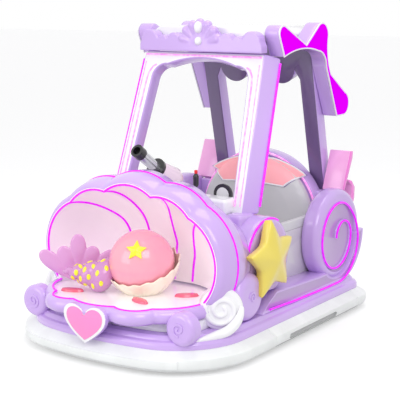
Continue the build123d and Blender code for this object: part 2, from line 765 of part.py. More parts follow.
# ---- pink fins behind each snail swirl ----
fin_blades = (
    # outline from the side as (behind the tub, height); inner x, outer x
    (((10, 590), (36, 590), (122, 800), (154, 796), (150, 760), (62, 590)), 340, 456),
    (((98, 476), (150, 476), (182, 548), (184, 604), (150, 640), (112, 652), (112, 645), (146, 618), (148, 572)), 404, 456),
    (((122, 366), (160, 366), (176, 402), (178, 436), (168, 440), (150, 404)), 404, 456),
)
with BuildPart() as fins:
    for outline, x_in, x_out in fin_blades:
        with BuildSketch(Plane.YZ.offset(x_in)):
            Polygon(*[(tub_rear + y, z) for y, z in outline], align=None)
        extrude(amount=x_out - x_in)
    with BuildSketch(Plane.YZ.offset(tub_half - 200)):
        with Locations((snail_y, snail_z)):
            Circle(snail_radius + fit_gap)
    extrude(amount=400, mode=Mode.SUBTRACT)
    slab((0, tub_half + fit_gap), (0, 900), (0, shoulder_top + fit_gap), mode=Mode.SUBTRACT)
    mirror(about=Plane.YZ)
save(fins, "tail_fins")

# ---- controls on the dash ----
with BuildPart() as joystick:
    with BuildSketch(Plane.XZ.offset(150)):
        with BuildLine():
            Polyline(
                (114, dash_top), (136, dash_top), (130, 690), (122, 698), (120, 704), (127, 716), (128, 758), (120, 772),
                (114, 776), close=True,
            )
        make_face()
    revolve(axis=Axis((114, -150, 0), (0, 0, 1)))
save(joystick, "joystick")

with BuildPart() as grip_loop:
    with BuildSketch(Plane.XZ.offset(-dash_rear)):
        with Locations((236, 676)):
            Circle(50)
            Circle(34, mode=Mode.SUBTRACT)
    extrude(amount=-16)
    fillet(grip_loop.faces().sort_by(Axis.Y)[-1].edges(), 5)
save(grip_loop, "grip_loop")

blaster_pitch = 34
blaster_axis = Plane(
    origin=(-118, -150, 776), x_dir=(0, -math.cos(math.radians(blaster_pitch)), math.sin(math.radians(blaster_pitch))),
    z_dir=(1, 0, 0),
)
with BuildPart() as blaster:
    with BuildSketch(blaster_axis):
        with BuildLine():
            Polyline(
                (-150, 0), (-150, 66), (-126, 72), (-10, 44), (-10, 49), (8, 49), (8, 27), (142, 27), (142, 32), (182, 32),
                (182, 20), (150, 20), (150, 0), close=True,
            )
        make_face()
    revolve(axis=Axis(blaster_axis.origin, blaster_axis.x_dir))
    slab((-400, 400), (dash_front - 1, dash_rear + fit_gap), (0, dash_top + 0), mode=Mode.SUBTRACT)
save(blaster, "toy_blaster")

# ---- sea group lying in the shell: pearl, conch, sea fan ----
pearl_x, pearl_y, pearl_radius = 36, nose_y + 360, 150
with BuildPart() as pearl:
    with Locations((pearl_x, pearl_y, tray_floor + pearl_radius - 12)):
        Sphere(pearl_radius)
    slab((-300, 300), (-800, 0), (0, tray_floor), mode=Mode.SUBTRACT)
save(pearl, "shell_pearl")

conch = Plane(origin=(-190, nose_y + 290, tray_floor + 52), x_dir=(-0.86, 0.42, 0.29), z_dir=(0.42, 0.86, 0))
with BuildPart() as conch_shell:
    with BuildSketch(conch):
        with BuildLine():
            Polyline((-110, 0), (-96, 34), (-40, 62), (10, 52), (14, 44), (52, 36), (56, 29), (88, 20), (116, 0), close=True)
        make_face()
    revolve(axis=Axis(conch.origin, conch.x_dir))
    slab((-500, 300), (-900, 0), (0, tray_floor), mode=Mode.SUBTRACT)
save(conch_shell, "conch_shell")

# ---- three petals lying on the tray ----
petal_places = ((-236, nose_y + 190, 20), (132, nose_y + 218, -20), (250, nose_y + 410, 40))
with BuildPart() as petals:
    for x, y, turn in petal_places:
        with BuildSketch(Plane.XY.offset(tray_floor)):
            with Locations(Location((x, y), turn)):
                Ellipse(56, 26)
        extrude(amount=12, taper=30)
save(petals, "tray_petals")
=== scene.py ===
import bpy
import json
import math
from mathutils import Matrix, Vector


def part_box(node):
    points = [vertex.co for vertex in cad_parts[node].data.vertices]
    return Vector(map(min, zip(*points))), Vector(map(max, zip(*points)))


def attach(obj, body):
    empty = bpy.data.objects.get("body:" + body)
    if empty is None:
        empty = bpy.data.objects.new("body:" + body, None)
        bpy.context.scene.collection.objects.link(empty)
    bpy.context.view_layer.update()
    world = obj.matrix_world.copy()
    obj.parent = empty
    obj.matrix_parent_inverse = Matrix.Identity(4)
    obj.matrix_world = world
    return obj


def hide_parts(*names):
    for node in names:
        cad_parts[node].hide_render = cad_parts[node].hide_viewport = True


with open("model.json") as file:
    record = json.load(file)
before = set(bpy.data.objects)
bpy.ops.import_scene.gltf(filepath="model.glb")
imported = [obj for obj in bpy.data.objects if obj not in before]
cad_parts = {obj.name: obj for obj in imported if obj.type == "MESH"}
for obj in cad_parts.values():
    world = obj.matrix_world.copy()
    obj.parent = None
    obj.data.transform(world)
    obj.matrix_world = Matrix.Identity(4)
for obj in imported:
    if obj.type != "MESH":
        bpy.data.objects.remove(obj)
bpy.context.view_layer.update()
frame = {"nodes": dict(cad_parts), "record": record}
nodes = frame["nodes"]
finish = {}


def objectMode():
    if bpy.context.mode != "OBJECT":
        bpy.ops.object.mode_set(mode="OBJECT")


def deselectAll():
    objectMode()
    bpy.ops.object.select_all(action="DESELECT")


def activate(obj):
    deselectAll()
    obj.select_set(True)
    bpy.context.view_layer.objects.active = obj


def editAll(obj):
    # edit mode with the whole mesh selected
    activate(obj)
    bpy.ops.object.mode_set(mode="EDIT")
    bpy.ops.mesh.select_all(action="SELECT")


def clearPick(obj, kind):
    activate(obj)
    bpy.ops.object.mode_set(mode="EDIT")
    bpy.ops.mesh.select_mode(type=kind)
    bpy.ops.mesh.select_all(action="DESELECT")
    objectMode()


def pickFaces(obj, test):
    # selects the faces whose centre and normal pass the test, and goes to edit mode
    clearPick(obj, "FACE")
    for face in obj.data.polygons:
        face.select = test(face.center, face.normal)
    bpy.ops.object.mode_set(mode="EDIT")


def pickPoints(obj, test):
    clearPick(obj, "VERT")
    for point in obj.data.vertices:
        point.select = test(point.co)
    bpy.ops.object.mode_set(mode="EDIT")


def settle(obj):
    # the place goes into the mesh and the object stands at the origin
    activate(obj)
    bpy.ops.object.transform_apply(location=True, rotation=True, scale=True)


def primitive(kind, name, **settings):
    # a new primitive, named, with its place in its mesh
    deselectAll()
    getattr(bpy.ops.mesh, "primitive_" + kind + "_add")(**settings)
    obj = bpy.context.object
    obj.name = name
    settle(obj)
    return obj


def smooth(obj, angle):
    activate(obj)
    bpy.ops.object.shade_smooth_by_angle(angle=math.radians(angle))


def softShade(obj):
    for face in obj.data.polygons:
        face.use_smooth = True


def modify(obj, kind, **settings):
    activate(obj)
    modifier = obj.modifiers.new(kind.title(), kind)
    for name, value in settings.items():
        setattr(modifier, name, value)
    bpy.ops.object.modifier_apply(modifier=modifier.name)


def bevel(obj, width, segments=3, angle=32):
    modify(
        obj, "BEVEL", width=width, segments=segments, limit_method="ANGLE", angle_limit=math.radians(angle),
        use_clamp_overlap=True, miter_outer="MITER_ARC",
    )


def cutOff(obj, spot, normal, fill=False):
    # takes away what lies beyond a plane
    pickPoints(obj, lambda co: True)
    bpy.ops.mesh.bisect(plane_co=spot, plane_no=normal, clear_outer=True, use_fill=fill)
    objectMode()


def dress(obj, *coats):
    obj.data.materials.clear()
    for coat in coats:
        obj.data.materials.append(finish[coat])


def paintFaces(obj, index, test):
    for face in obj.data.polygons:
        if test(face.center, face.normal):
            face.material_index = index


def join(name, parts):
    deselectAll()
    for part in parts:
        part.select_set(True)
    bpy.context.view_layer.objects.active = parts[0]
    if len(parts) > 1:
        bpy.ops.object.join()
    parts[0].name = name
    return parts[0]


def mirrorX(obj):
    # the same shape on the other side of the car
    modify(obj, "MIRROR", use_axis=(True, False, False), use_mirror_merge=False)


def outward(obj):
    editAll(obj)
    bpy.ops.mesh.normals_make_consistent(inside=False)
    objectMode()


def mouldFrom(node, name, dissolve=1.5):
    # a merged copy of a CAD node with its flats cleaned up, ready to be worked on
    copy = bpy.data.objects.new(name, nodes[node].data.copy())
    bpy.context.scene.collection.objects.link(copy)
    editAll(copy)
    bpy.ops.mesh.remove_doubles(threshold=0.00005)
    bpy.ops.mesh.dissolve_limited(angle_limit=math.radians(dissolve))
    objectMode()
    if copy.data.has_custom_normals:
        bpy.ops.mesh.customdata_custom_splitnormals_clear()
    return copy


def place(obj, slotName, *stands, body="car"):
    # its body and the CAD nodes it stands for; slotName is not used
    if stands:
        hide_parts(*stands)
    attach(obj, body)
    return obj


def present(obj, coats, angle, slotName, *stands, where=None, pair=False):
    # finishes, the second one on the faces that pass a test, then shading, the far side's copy and its place
    dress(obj, *coats.split())
    if where:
        paintFaces(obj, 1, where)
    if angle:
        smooth(obj, angle)
    if pair:
        mirrorX(obj)
    place(obj, slotName, *stands)


def curveObject(name, line):
    # a curve made a mesh
    obj = bpy.data.objects.new(name, line)
    bpy.context.scene.collection.objects.link(obj)
    activate(obj)
    bpy.ops.object.convert(target="MESH")
    return bpy.context.object


def tube(name, points, radius, coat, closed=False, sides=3, taper=None):
    # a round strip along a path
    line = bpy.data.curves.new(name, "CURVE")
    line.dimensions = "3D"
    run = line.splines.new("POLY")
    run.points.add(len(points) - 1)
    for i, spot in enumerate(points):
        run.points[i].co = (*spot, 1)
        run.points[i].radius = taper(i / (len(points) - 1)) if taper else 1
    run.use_cyclic_u = closed
    line.bevel_depth = radius
    line.bevel_resolution = sides
    line.use_fill_caps = True
    obj = curveObject(name, line)
    dress(obj, coat)
    softShade(obj)
    outward(obj)
    return obj


def arc(start, crown, end, steps=16):
    # points of the circle through three places in a plane
    ax, ay, bx, by, cx, cy = *start, *crown, *end
    d = 2 * (ax * (by - cy) + bx * (cy - ay) + cx * (ay - by))
    ux = ((ax**2 + ay**2) * (by - cy) + (bx**2 + by**2) * (cy - ay) + (cx**2 + cy**2) * (ay - by)) / d
    uy = ((ax**2 + ay**2) * (cx - bx) + (bx**2 + by**2) * (ax - cx) + (cx**2 + cy**2) * (bx - ax)) / d
    radius = math.hypot(ax - ux, ay - uy)
    first, middle, last = (math.atan2(y - uy, x - ux) for x, y in (start, crown, end))
    turn = (last - first) % (2 * math.pi)
    if (middle - first) % (2 * math.pi) > turn:
        turn -= 2 * math.pi
    return sweep((ux, uy), radius, math.degrees(first), math.degrees(first + turn), steps)


def sweep(middle, radius, first, last, steps):
    # points round a middle, from one angle to another in degrees
    angles = [math.radians(first + (last - first) * step / steps) for step in range(steps + 1)]
    return [(middle[0] + radius * math.cos(a), middle[1] + radius * math.sin(a)) for a in angles]


def islands(mesh):
    # the loose lines of a mesh as sets of point numbers, the one that reaches highest and furthest first
    joined = {i: {i} for i in range(len(mesh.vertices))}
    for edge in mesh.edges:
        a, b = (joined[i] for i in edge.vertices)
        if a is not b:
            a |= b
            for i in b:
                joined[i] = a
    found = []
    for group in joined.values():
        if group not in found:
            found.append(group)
    spots = [point.co for point in mesh.vertices]
    return sorted(found, key=lambda group: -max(spots[i].z + abs(spots[i].y) for i in group))


def cutLine(node, name, level, radius, coat, low, rank):
    # a light strip along the line where a plane square to the car's length meets a CAD node
    strip = mouldFrom(node, name, dissolve=0.01)
    bpy.ops.object.mode_set(mode="EDIT")
    bpy.ops.mesh.select_mode(type="VERT")
    bpy.ops.mesh.select_all(action="SELECT")
    bpy.ops.mesh.bisect(plane_co=(0, level, 0), plane_no=(0, 1, 0), use_fill=False)
    objectMode()
    pickPoints(strip, lambda co: abs(co.y - level) > 0.00005 or co.z < low)
    bpy.ops.mesh.delete(type="VERT")
    objectMode()
    wanted = islands(strip.data)[rank]
    spots = {tuple(strip.data.vertices[i].co) for i in wanted}
    pickPoints(strip, lambda co: tuple(co) not in spots)
    bpy.ops.mesh.delete(type="VERT")
    bpy.ops.mesh.select_all(action="SELECT")
    bpy.ops.mesh.delete(type="ONLY_FACE")
    activate(strip)
    bpy.ops.object.convert(target="CURVE")
    strip = bpy.context.object
    strip.data.bevel_depth = radius
    strip.data.bevel_resolution = 3
    strip.data.use_fill_caps = True
    bpy.ops.object.convert(target="MESH")
    strip = bpy.context.object
    dress(strip, coat)
    softShade(strip)
    outward(strip)
    return strip


def spread(points, steps):
    # a smooth run through a few places
    out = []
    for i in range(len(points) - 1):
        near = (points[min(max(j, 0), len(points) - 1)] for j in (i - 1, i, i + 1, i + 2))
        before, start, end, after = (Vector(spot) for spot in near)
        for step in range(steps):
            t = step / steps
            out.append(0.5 * (
                2 * start + (end - before) * t + (2 * before - 5 * start + 4 * end - after) * t**2
                + (3 * start - before - 3 * end + after) * t**3
            ))
    return out + [Vector(points[-1])]


# finishes
def linear(r, g, b):
    # a screen colour of 0 to 255 as linear light
    return tuple((c / 3294.6 if c <= 10 else ((c / 255 + 0.055) / 1.055) ** 2.4) for c in (r, g, b)) + (1.0,)


def shaderOf(name):
    material = finish[name] = bpy.data.materials.new(name)
    material.use_nodes = True
    return material.node_tree, material.node_tree.nodes["Principled BSDF"].inputs


def noiseOn(tree, scale, detail=2.0):
    where = tree.nodes.new("ShaderNodeTexCoord")
    noise = tree.nodes.new("ShaderNodeTexNoise")
    noise.inputs["Scale"].default_value = scale
    noise.inputs["Detail"].default_value = detail
    tree.links.new(where.outputs["Object"], noise.inputs["Vector"])
    return noise.outputs["Fac"]


def bumpFrom(tree, shader, source, strength):
    bump = tree.nodes.new("ShaderNodeBump")
    bump.inputs["Strength"].default_value = strength
    bump.inputs["Distance"].default_value = 0.001
    tree.links.new(source, bump.inputs["Height"])
    tree.links.new(bump.outputs["Normal"], shader["Normal"])


def drift(tree, shader, source, low, high, shade, colour):
    # the base colour drifts from a shade to the colour between two levels of a noise
    ramp = tree.nodes.new("ShaderNodeValToRGB")
    first, last = ramp.color_ramp.elements
    first.position, first.color = low, shade
    last.position, last.color = high, colour
    tree.links.new(source, ramp.inputs["Fac"])
    tree.links.new(ramp.outputs["Color"], shader["Base Color"])
    return ramp.outputs["Color"]


def darker(colour, share):
    return tuple(c * share for c in colour[:3]) + (1,)


def gelCoat(name, colour, roughness=0.2, coat=0.5):
    # sprayed and polished glass fibre: slow colour drift, slight orange peel, clear coat
    tree, shader = shaderOf(name)
    drift(tree, shader, noiseOn(tree, 2.6), 0.3, 0.65, darker(colour, 0.94), colour)
    bumpFrom(tree, shader, noiseOn(tree, 170, 1), 0.03)
    shader["Roughness"].default_value = roughness
    shader["Coat Weight"].default_value = coat
    shader["Coat Roughness"].default_value = 0.06


def litStrip(name, core, edge, strength):
    # a flexible light strip: brighter beads along a coloured sleeve
    tree, shader = shaderOf(name)
    bead = drift(tree, shader, noiseOn(tree, 60, 0), 0.35, 0.75, edge, core)
    tree.links.new(bead, shader["Emission Color"])
    shader["Emission Strength"].default_value = strength
    shader["Roughness"].default_value = 0.3


def rubber(name, colour, roughness=0.5):
    # moulded rubber and plain paint, a little scuffed
    tree, shader = shaderOf(name)
    drift(tree, shader, noiseOn(tree, 9, 6), 0.42, 0.6, darker(colour, 0.94), colour)
    bumpFrom(tree, shader, noiseOn(tree, 420, 2), 0.12)
    shader["Roughness"].default_value = roughness


def upholstery(name, colour):
    # coated fabric with a fine leather grain
    tree, shader = shaderOf(name)
    where = tree.nodes.new("ShaderNodeTexCoord")
    grain = tree.nodes.new("ShaderNodeTexVoronoi")
    grain.inputs["Scale"].default_value = 330
    tree.links.new(where.outputs["Object"], grain.inputs["Vector"])
    drift(tree, shader, noiseOn(tree, 5, 3), 0.35, 0.65, darker(colour, 0.93), colour)
    bumpFrom(tree, shader, grain.outputs["Distance"], 0.14)
    shader["Roughness"].default_value = 0.46
    shader["Sheen Weight"].default_value = 0.15


# colours from 0 to 255, and the roughness where it isn't the usual one
coats = {
    gelCoat: {
        "lavender": (207, 174, 238), "white": (246, 246, 248), "trayWhite": (250, 246, 250),
        "paleBody": (240, 240, 242), "lining": (255, 248, 251), "finPink": (255, 184, 234),
        "finEdge": (255, 120, 224), "heartPink": (255, 142, 208), "star": (240, 219, 92, 0.28),
        "dot": (255, 244, 40, 0.3), "rose": (255, 170, 186), "cream": (255, 248, 224),
        "mauve": (208, 146, 200), "orchid": (222, 160, 214), "petal": (240, 100, 130),
        "violetEdge": (128, 92, 176),
        "black": (26, 26, 28, 0.35), "red": (235, 20, 20), "chrome": (205, 206, 210, 0.16),
        # painted shade: the dark violet on the next line darkens the rear frame's front and underside faces
        # painted shade: the darker lavender on the next line darkens the sunk faces of the swirl dish and
        # sill panels
        "blasterPink": (255, 232, 246), "dusk": (186, 154, 208), "twilight": (116, 95, 138),
        "tubGrey": (214, 209, 216),
    },
    rubber: {
        # painted shade: the darker grey beside the bumper colour darkens the faces inside its hand slots
        "bumper": (232, 235, 234), "slotGrey": (196, 198, 198), "steel": (34, 34, 36, 0.45),
        "battery": (44, 44, 46, 0.6), "tyre": (34, 34, 35, 0.8), "caster": (110, 110, 114, 0.7),
    },
    upholstery: {"seatGrey": (204, 204, 206), "seatPink": (255, 176, 182)},
}
for make, tints in coats.items():
    for name, tint in tints.items():
        make(name, linear(*tint[:3]), *tint[3:])
gelCoat("magentaPanel", linear(216, 0, 240), roughness=0.8, coat=0.0)
litStrip("magentaLight", linear(238, 40, 255), linear(222, 0, 240), 0.35)
litStrip("pinkLight", linear(255, 190, 240), linear(252, 140, 226), 0.35)


def shaderIn(name):
    return finish[name].node_tree.nodes["Principled BSDF"].inputs


# painted light: the lining, tray floor, seat, magenta panels and bumper get a faint glow that lifts them
# brighter than the lamps make them
paintedGlow = {
    "lining": (255, 240, 248, 0.12), "trayWhite": (255, 240, 248, 0.12), "seatPink": (255, 160, 168, 0.22),
    "seatGrey": (255, 255, 255, 0.07), "magentaPanel": (222, 0, 250, 0.30), "bumper": (255, 255, 255, 0.08),
}
for name, (*tint, glow) in paintedGlow.items():
    shaderIn(name)["Emission Color"].default_value = linear(*tint)
    shaderIn(name)["Emission Strength"].default_value = glow
shaderIn("magentaPanel")["Specular IOR Level"].default_value = 0
shaderIn("chrome")["Metallic"].default_value = 0.85
# the finish of each colour slot, where it has another name
slotFinish = {
    "pale_body": "paleBody", "pearl_white": "white", "magenta": "magentaPanel", "fin_pink": "finPink",
    "heart_pink": "heartPink", "star_yellow": "star", "seat_grey": "seatGrey", "seat_pink": "seatPink",
    "grip_black": "black", "blaster": "blasterPink", "pearl_rose": "rose", "petal_red": "petal",
    "caster_tyre": "caster",
}
for part in frame["record"]["subparts"]:
    slotName = part["material_slot"]
    dress(nodes[part["node"]], slotFinish.get(slotName, slotName))
print("finishes ready")


# floor, lights and camera
studio = {
    "floor": (0.62, 0.62, 0.63, 1), "floorSize": 80, "floorLift": 0.42, "room": 0.8, "white": (1, 1, 1, 1),
    "cameraAt": (3.020, -4.352, 1.572), "cameraAim": (-0.5566, 0.8113, -0.1787), "lens": 99.27,
    "lampAim": (0, 0, 0.6),
    # name, power, size and place of each lamp
    "lamps": (
        ("keyLamp", 80, 2.6, (3.4, -3.0, 4.0)), ("fillLamp", 60, 3.0, (-1.6, -4.6, 2.2)),
        ("topLamp", 34, 2.4, (0.4, 0.6, 4.6)),
    ),
}


def straightRays(tree):
    # 1 for what the camera and glossy surfaces see
    rays = tree.nodes.new("ShaderNodeLightPath")
    either = tree.nodes.new("ShaderNodeMath")
    either.operation = "MAXIMUM"
    tree.links.new(rays.outputs["Is Camera Ray"], either.inputs[0])
    tree.links.new(rays.outputs["Is Glossy Ray"], either.inputs[1])
    return either.outputs[0]


def makeFloor():
    floor = primitive("plane", "floor", size=studio["floorSize"])
    # the floor shows white to the camera and to glossy rays, and keeps the car's shadow
    tree, shader = shaderOf("paleFloor")
    shader["Base Color"].default_value = studio["floor"]
    shader["Roughness"].default_value = 0.8
    share = tree.nodes.new("ShaderNodeMath")
    share.operation = "MULTIPLY"
    share.inputs[1].default_value = studio["floorLift"]
    tree.links.new(straightRays(tree), share.inputs[0])
    tree.links.new(share.outputs[0], shader["Emission Strength"])
    shader["Emission Color"].default_value = studio["white"]
    dress(floor, "paleFloor")


def makeRoom():
    world = bpy.context.scene.world = bpy.data.worlds.new("studio")
    world.use_nodes = True
    tree = world.node_tree
    tree.nodes.clear()
    out = tree.nodes.new("ShaderNodeOutputWorld")
    either = tree.nodes.new("ShaderNodeMixShader")
    tree.links.new(straightRays(tree), either.inputs[0])
    for i, strength in ((1, studio["room"]), (2, 1)):
        glow = tree.nodes.new("ShaderNodeBackground")
        glow.inputs["Color"].default_value = studio["white"]
        glow.inputs["Strength"].default_value = strength
        tree.links.new(glow.outputs[0], either.inputs[i])
    tree.links.new(either.outputs[0], out.inputs["Surface"])


def makeStudio():
    makeFloor()
    makeRoom()
    for name, power, size, spot in studio["lamps"]:
        bpy.ops.object.light_add(type="AREA", location=spot)
        lamp = bpy.context.object
        lamp.name = name
        lamp.data.energy = power
        lamp.data.size = size
        lamp.rotation_euler = (Vector(studio["lampAim"]) - Vector(spot)).to_track_quat("-Z", "Y").to_euler()
    bpy.ops.object.camera_add(location=studio["cameraAt"])
    camera = bpy.context.object
    camera.rotation_euler = Vector(studio["cameraAim"]).to_track_quat("-Z", "Y").to_euler()
    camera.data.lens = studio["lens"]
    camera.data.sensor_width = 36
    bpy.context.scene.camera = camera
    bpy.context.scene.view_settings.view_transform = "Standard"


makeStudio()
print("studio ready")


# rigid mouldings: rounded copies of the CAD bodies
rounded = {
    # node: (name, bevel width, segments, smoothing angle, slot, finish)
    "deck": ("deckMoulding", 0.006, 3, 40, "lavender", "lavender"),
    "nose_body": ("noseBody", 0.006, 2, 40, "pale_body", "paleBody"),
    "tub": ("tubMoulding", 0.004, 2, 40, "pale_body", "tubGrey"),
    "tub_lip": ("tubLip", 0.006, 3, 40, "seat_grey", "seatGrey"),
    "dash": ("dashBoard", 0.022, 5, 40, "pale_body", "white"),
    "roof_panel": ("roofPanel", 0.008, 3, 40, "pale_body", "paleBody"),
    "rear_body": ("rearBody", 0.016, 3, 40, "lavender", "lavender"),
    "bow_sides": ("bowLoops", 0.009, 3, 40, "lavender", "lavender"),
    "fender_domes": ("fenderDomes", 0, 0, 45, "lavender", "lavender"),
    "ball_scrolls": ("ballScrolls", 0, 0, 50, "lavender", "lavender"),
    "nose_scrolls": ("noseScrolls", 0, 0, 50, "lavender", "lavender"),
    "crown_pearls": ("crownPearls", 0, 0, 60, "pearl_white", "white"),
}


def makeMouldings():
    for node, (name, width, segments, angle, slotName, coat) in rounded.items():
        piece = mouldFrom(node, name, dissolve=1.5 if width else 0.05)
        if width:
            bevel(piece, width, segments)
        present(piece, coat, angle, slotName, node)


makeMouldings()
print("mouldings rounded")


# shell nose: hood, lining, tray and their light strips
shell = {
    "mouthLightY": -0.5292, "mouthLightFrom": 0.274, "hoodLightY": -0.425, "hoodLightFrom": 0.298,
    "trayTop": 0.268, "trayLightBack": (0.398, -0.47), "rimLight": 0.0052, "backWall": -0.27,
    # the tray's edge on the car's left: start, crown and end of each lobe (x, y), the middle one halved
    "middleLobe": ((0, -0.800), (0.058, -0.7925), (0.116, -0.770)),
    "lobes": (
        ((0.116, -0.770), (0.205, -0.786), (0.272, -0.708)),
        ((0.272, -0.708), (0.335, -0.662), (0.402, -0.500)),
    ),
}


def makeHood():
    hood = mouldFrom("shell_upper", "shellHood", dissolve=0.01)
    present(
        hood, "lavender lining", 62, "lavender", "shell_upper",
        where=lambda c, n: n.y < -0.9 and c.y > shell["backWall"],
    )
    lining = mouldFrom("shell_lining", "hoodLining", dissolve=0.01)
    present(lining, "lining", 62, "lining", "shell_lining")
    # light strips round the inside of the mouth and over the hood behind it
    for node, name, rank in (("shell_lining", "mouthLight", 1), ("shell_upper", "hoodLight", 0)):
        level, low = shell[name + "Y"], shell[name + "From"]
        place(cutLine(node, name, level, shell["rimLight"], "magentaLight", low, rank), "magenta")
    return hood, lining


ribs = {
    # each rib runs from a notch of the mouth over the lining to the floor, set out from inside the hood
    "runs": (
        (
            (0.131, -0.525, 0.712), (0.100, -0.360, 0.640), (0.080, -0.285, 0.560), (0.070, -0.250, 0.400),
            (0.060, -0.248, 0.277),
        ),
        (
            (0.334, -0.525, 0.640), (0.270, -0.360, 0.600), (0.206, -0.285, 0.535), (0.178, -0.250, 0.410),
            (0.162, -0.248, 0.277),
        ),
    ),
    "inside": (0, -0.44, 0.42), "radius": 0.0055, "steps": 10,
}


def makeRibs(hood, lining):
    parts = []
    inside = Vector(ribs["inside"])
    for run in ribs["runs"]:
        route = []
        for spot in spread(run, ribs["steps"]):
            for wall in (lining, hood):
                hit, met, _, _ = wall.ray_cast(inside, (spot - inside).normalized())
                if hit:
                    route.append(met)
                    break
        parts.append(tube("rib", route, ribs["radius"], "magentaLight"))
    piece = join("liningRibs", parts)
    mirrorX(piece)
    place(piece, "magenta")


def makeTray():
    tray = mouldFrom("shell_tray", "shellTray", dissolve=0.3)
    floor = shell["trayTop"] - 0.004
    present(
        tray, "lavender trayWhite", 50, "lavender", "shell_tray",
        where=lambda c, n: n.z > 0.9 and c.z < floor,
    )
    half = arc(*shell["middleLobe"], 8)
    for lobe in shell["lobes"]:
        half += arc(*lobe)[1:]
    half.append(shell["trayLightBack"])
    run = [(-x, y) for x, y in reversed(half)] + half[1:]
    light = tube("trayLight", [(x, y, shell["trayTop"]) for x, y in run], shell["rimLight"], "magentaLight")
    place(light, "magenta")


makeRibs(*makeHood())
makeTray()
print("shell nose made")


# windscreen frame with its lit face
screen = {
    "lean": math.radians(18.7), "bevel": 0.012, "run": 0.727, "foot": (-0.155, 0.637), "deep": 0.074,
    "backFoot": 0.426, "backTop": 0.396, "edgeRadius": 0.0055, "edge": (0.02, 0.35, 0.70), "edgeIn": 0.006,
    # pink lines on its face: half widths and places up the frame, with each line's radius
    "inner": (
        0.004, (0.333, 0.00), (0.327, 0.15), (0.316, 0.40), (0.306, 0.58), (0.300, 0.615), (0.282, 0.645),
        (0.262, 0.656),
    ),
    "outer": (0.0025, (0.362, 0.00), (0.355, 0.15), (0.336, 0.55), (0.330, 0.67)),
    "header": (0.004, (-0.335, 0.706), (-0.1, 0.706), (0.1, 0.706), (0.335, 0.706)),
}


def onScreen(x, along, depth=0.0):
    # a place on the leaning frame: across, up its face, and out from its face
    y, z = screen["foot"]
    rise, back = math.cos(screen["lean"]), math.sin(screen["lean"])
    return (x, y + along * back - depth * rise, z + along * rise + depth * back)


def onEdge(side, along):
    # a place on the outer side of a post, near its back
    out = screen["backFoot"] + (screen["backTop"] - screen["backFoot"]) / screen["run"] * along + 0.001
    return onScreen(side * out, along, screen["edgeIn"] - screen["deep"])


def faceLine(line, side, depth):
    radius, *places = screen[line]
    return tube("pink", [onScreen(side * x, along, depth) for x, along in places], radius, "pinkLight")


def makeScreen():
    piece = mouldFrom("windscreen_frame", "windscreenFrame")
    bevel(piece, screen["bevel"], 4)
    front = Vector((0, -math.cos(screen["lean"]), math.sin(screen["lean"])))
    present(
        piece, "lavender white", 40, "lavender", "windscreen_frame", where=lambda c, n: n.dot(front) > 0.86,
    )
    edge, pink = [], []
    for side in (-1, 1):
        run = [onEdge(side, along) for along in screen["edge"]]
        edge.append(tube("edge", run, screen["edgeRadius"], "magentaLight"))
        pink += [faceLine("inner", side, 0.001), faceLine("outer", side, 0.001)]
    pink.append(faceLine("header", 1, 0.002))
    place(join("screenEdgeLights", edge), "magenta")
    place(join("screenFaceLights", pink), "fin_pink")


makeScreen()
print("windscreen frame made")


# snail swirls, sills and their long light line
swirl = {
    # half turns as (centre y, level, radius), from the middle outwards, then the run along the sill
    "turns": ((0.618, 0.384, 0.078), (0.542, 0.384, 0.154), (0.566, 0.384, 0.178)), "turnSteps": 24,
    "tail": (0.534, 0.369, 0.210),
    "sillRun": ((0.42, 0.159), (0.266, 0.161), (0.069, 0.165), (-0.142, 0.174)),
    "faceX": 0.5025, "sillX": 0.5215, "climb": 7, "radius": 0.0055, "lip": 0.003,
    "sillRim": 0.011, "sillSink": 0.005, "sillInX": 0.400, "sillOutX": 0.520,
    "disc": (0.570, 0.396, 0.235), "inX": 0.398, "outX": 0.500, "dish": 0.009, "rimRound": 0.036,
    "ridge": 0.0075, "ridgeTurns": 2,
    # top of the sill from front to rear, then its sweep up behind the disc
    "sillTop": ((-0.203, 0.161), (-0.150, 0.206), (-0.072, 0.246), (0.246, 0.233), (0.335, 0.228)),
    "sweep": (0.534, 0.384, 0.196), "meetZ": 0.228,
}


def swirlPath():
    run = []
    for i, (y, z, radius) in enumerate(swirl["turns"]):
        first = 0 if i % 2 else 180
        run += sweep((y, z), radius, first, first - 180, swirl["turnSteps"])
    y, z, radius = swirl["tail"]
    return run + sweep((y, z), radius, 0, -90, 14) + list(swirl["sillRun"])


def shape(name, outlines, across, low, high, lean=0, origin=(0, 0, 0)):
    # flat outlines filled as one curve, holes left open, with a thickness; across names the thin axis
    line = bpy.data.curves.new(name, "CURVE")
    line.dimensions = "2D"
    line.fill_mode = "BOTH"
    line.extrude = (high - low) / 2
    for outline in outlines:
        run = line.splines.new("POLY")
        run.points.add(len(outline) - 1)
        for i, (u, v) in enumerate(outline):
            run.points[i].co = (u, v, 0, 1)
        run.use_cyclic_u = True
    obj = curveObject(name, line)
    obj.rotation_euler = (math.pi / 2 + lean, 0, math.pi / 2 if across == "X" else 0)
    middle = (low + high) / 2
    obj.location = Vector(origin) + Vector((middle, 0, 0) if across == "X" else (0, middle, 0))
    settle(obj)
    editAll(obj)
    bpy.ops.mesh.remove_doubles(threshold=0.00005)
    bpy.ops.mesh.dissolve_limited(angle_limit=math.radians(0.5))
    outward(obj)
    return obj


def sillOutline():
    y, z, radius = swirl["sweep"]
    meet = y - math.sqrt(radius**2 - (z - swirl["meetZ"]) ** 2)
    rise = arc((meet, swirl["meetZ"]), (y, z - radius), (y + radius, z), 28)
    return list(swirl["sillTop"]) + rise + sweep(swirl["disc"][:2], swirl["disc"][2], 0, -90, 16)


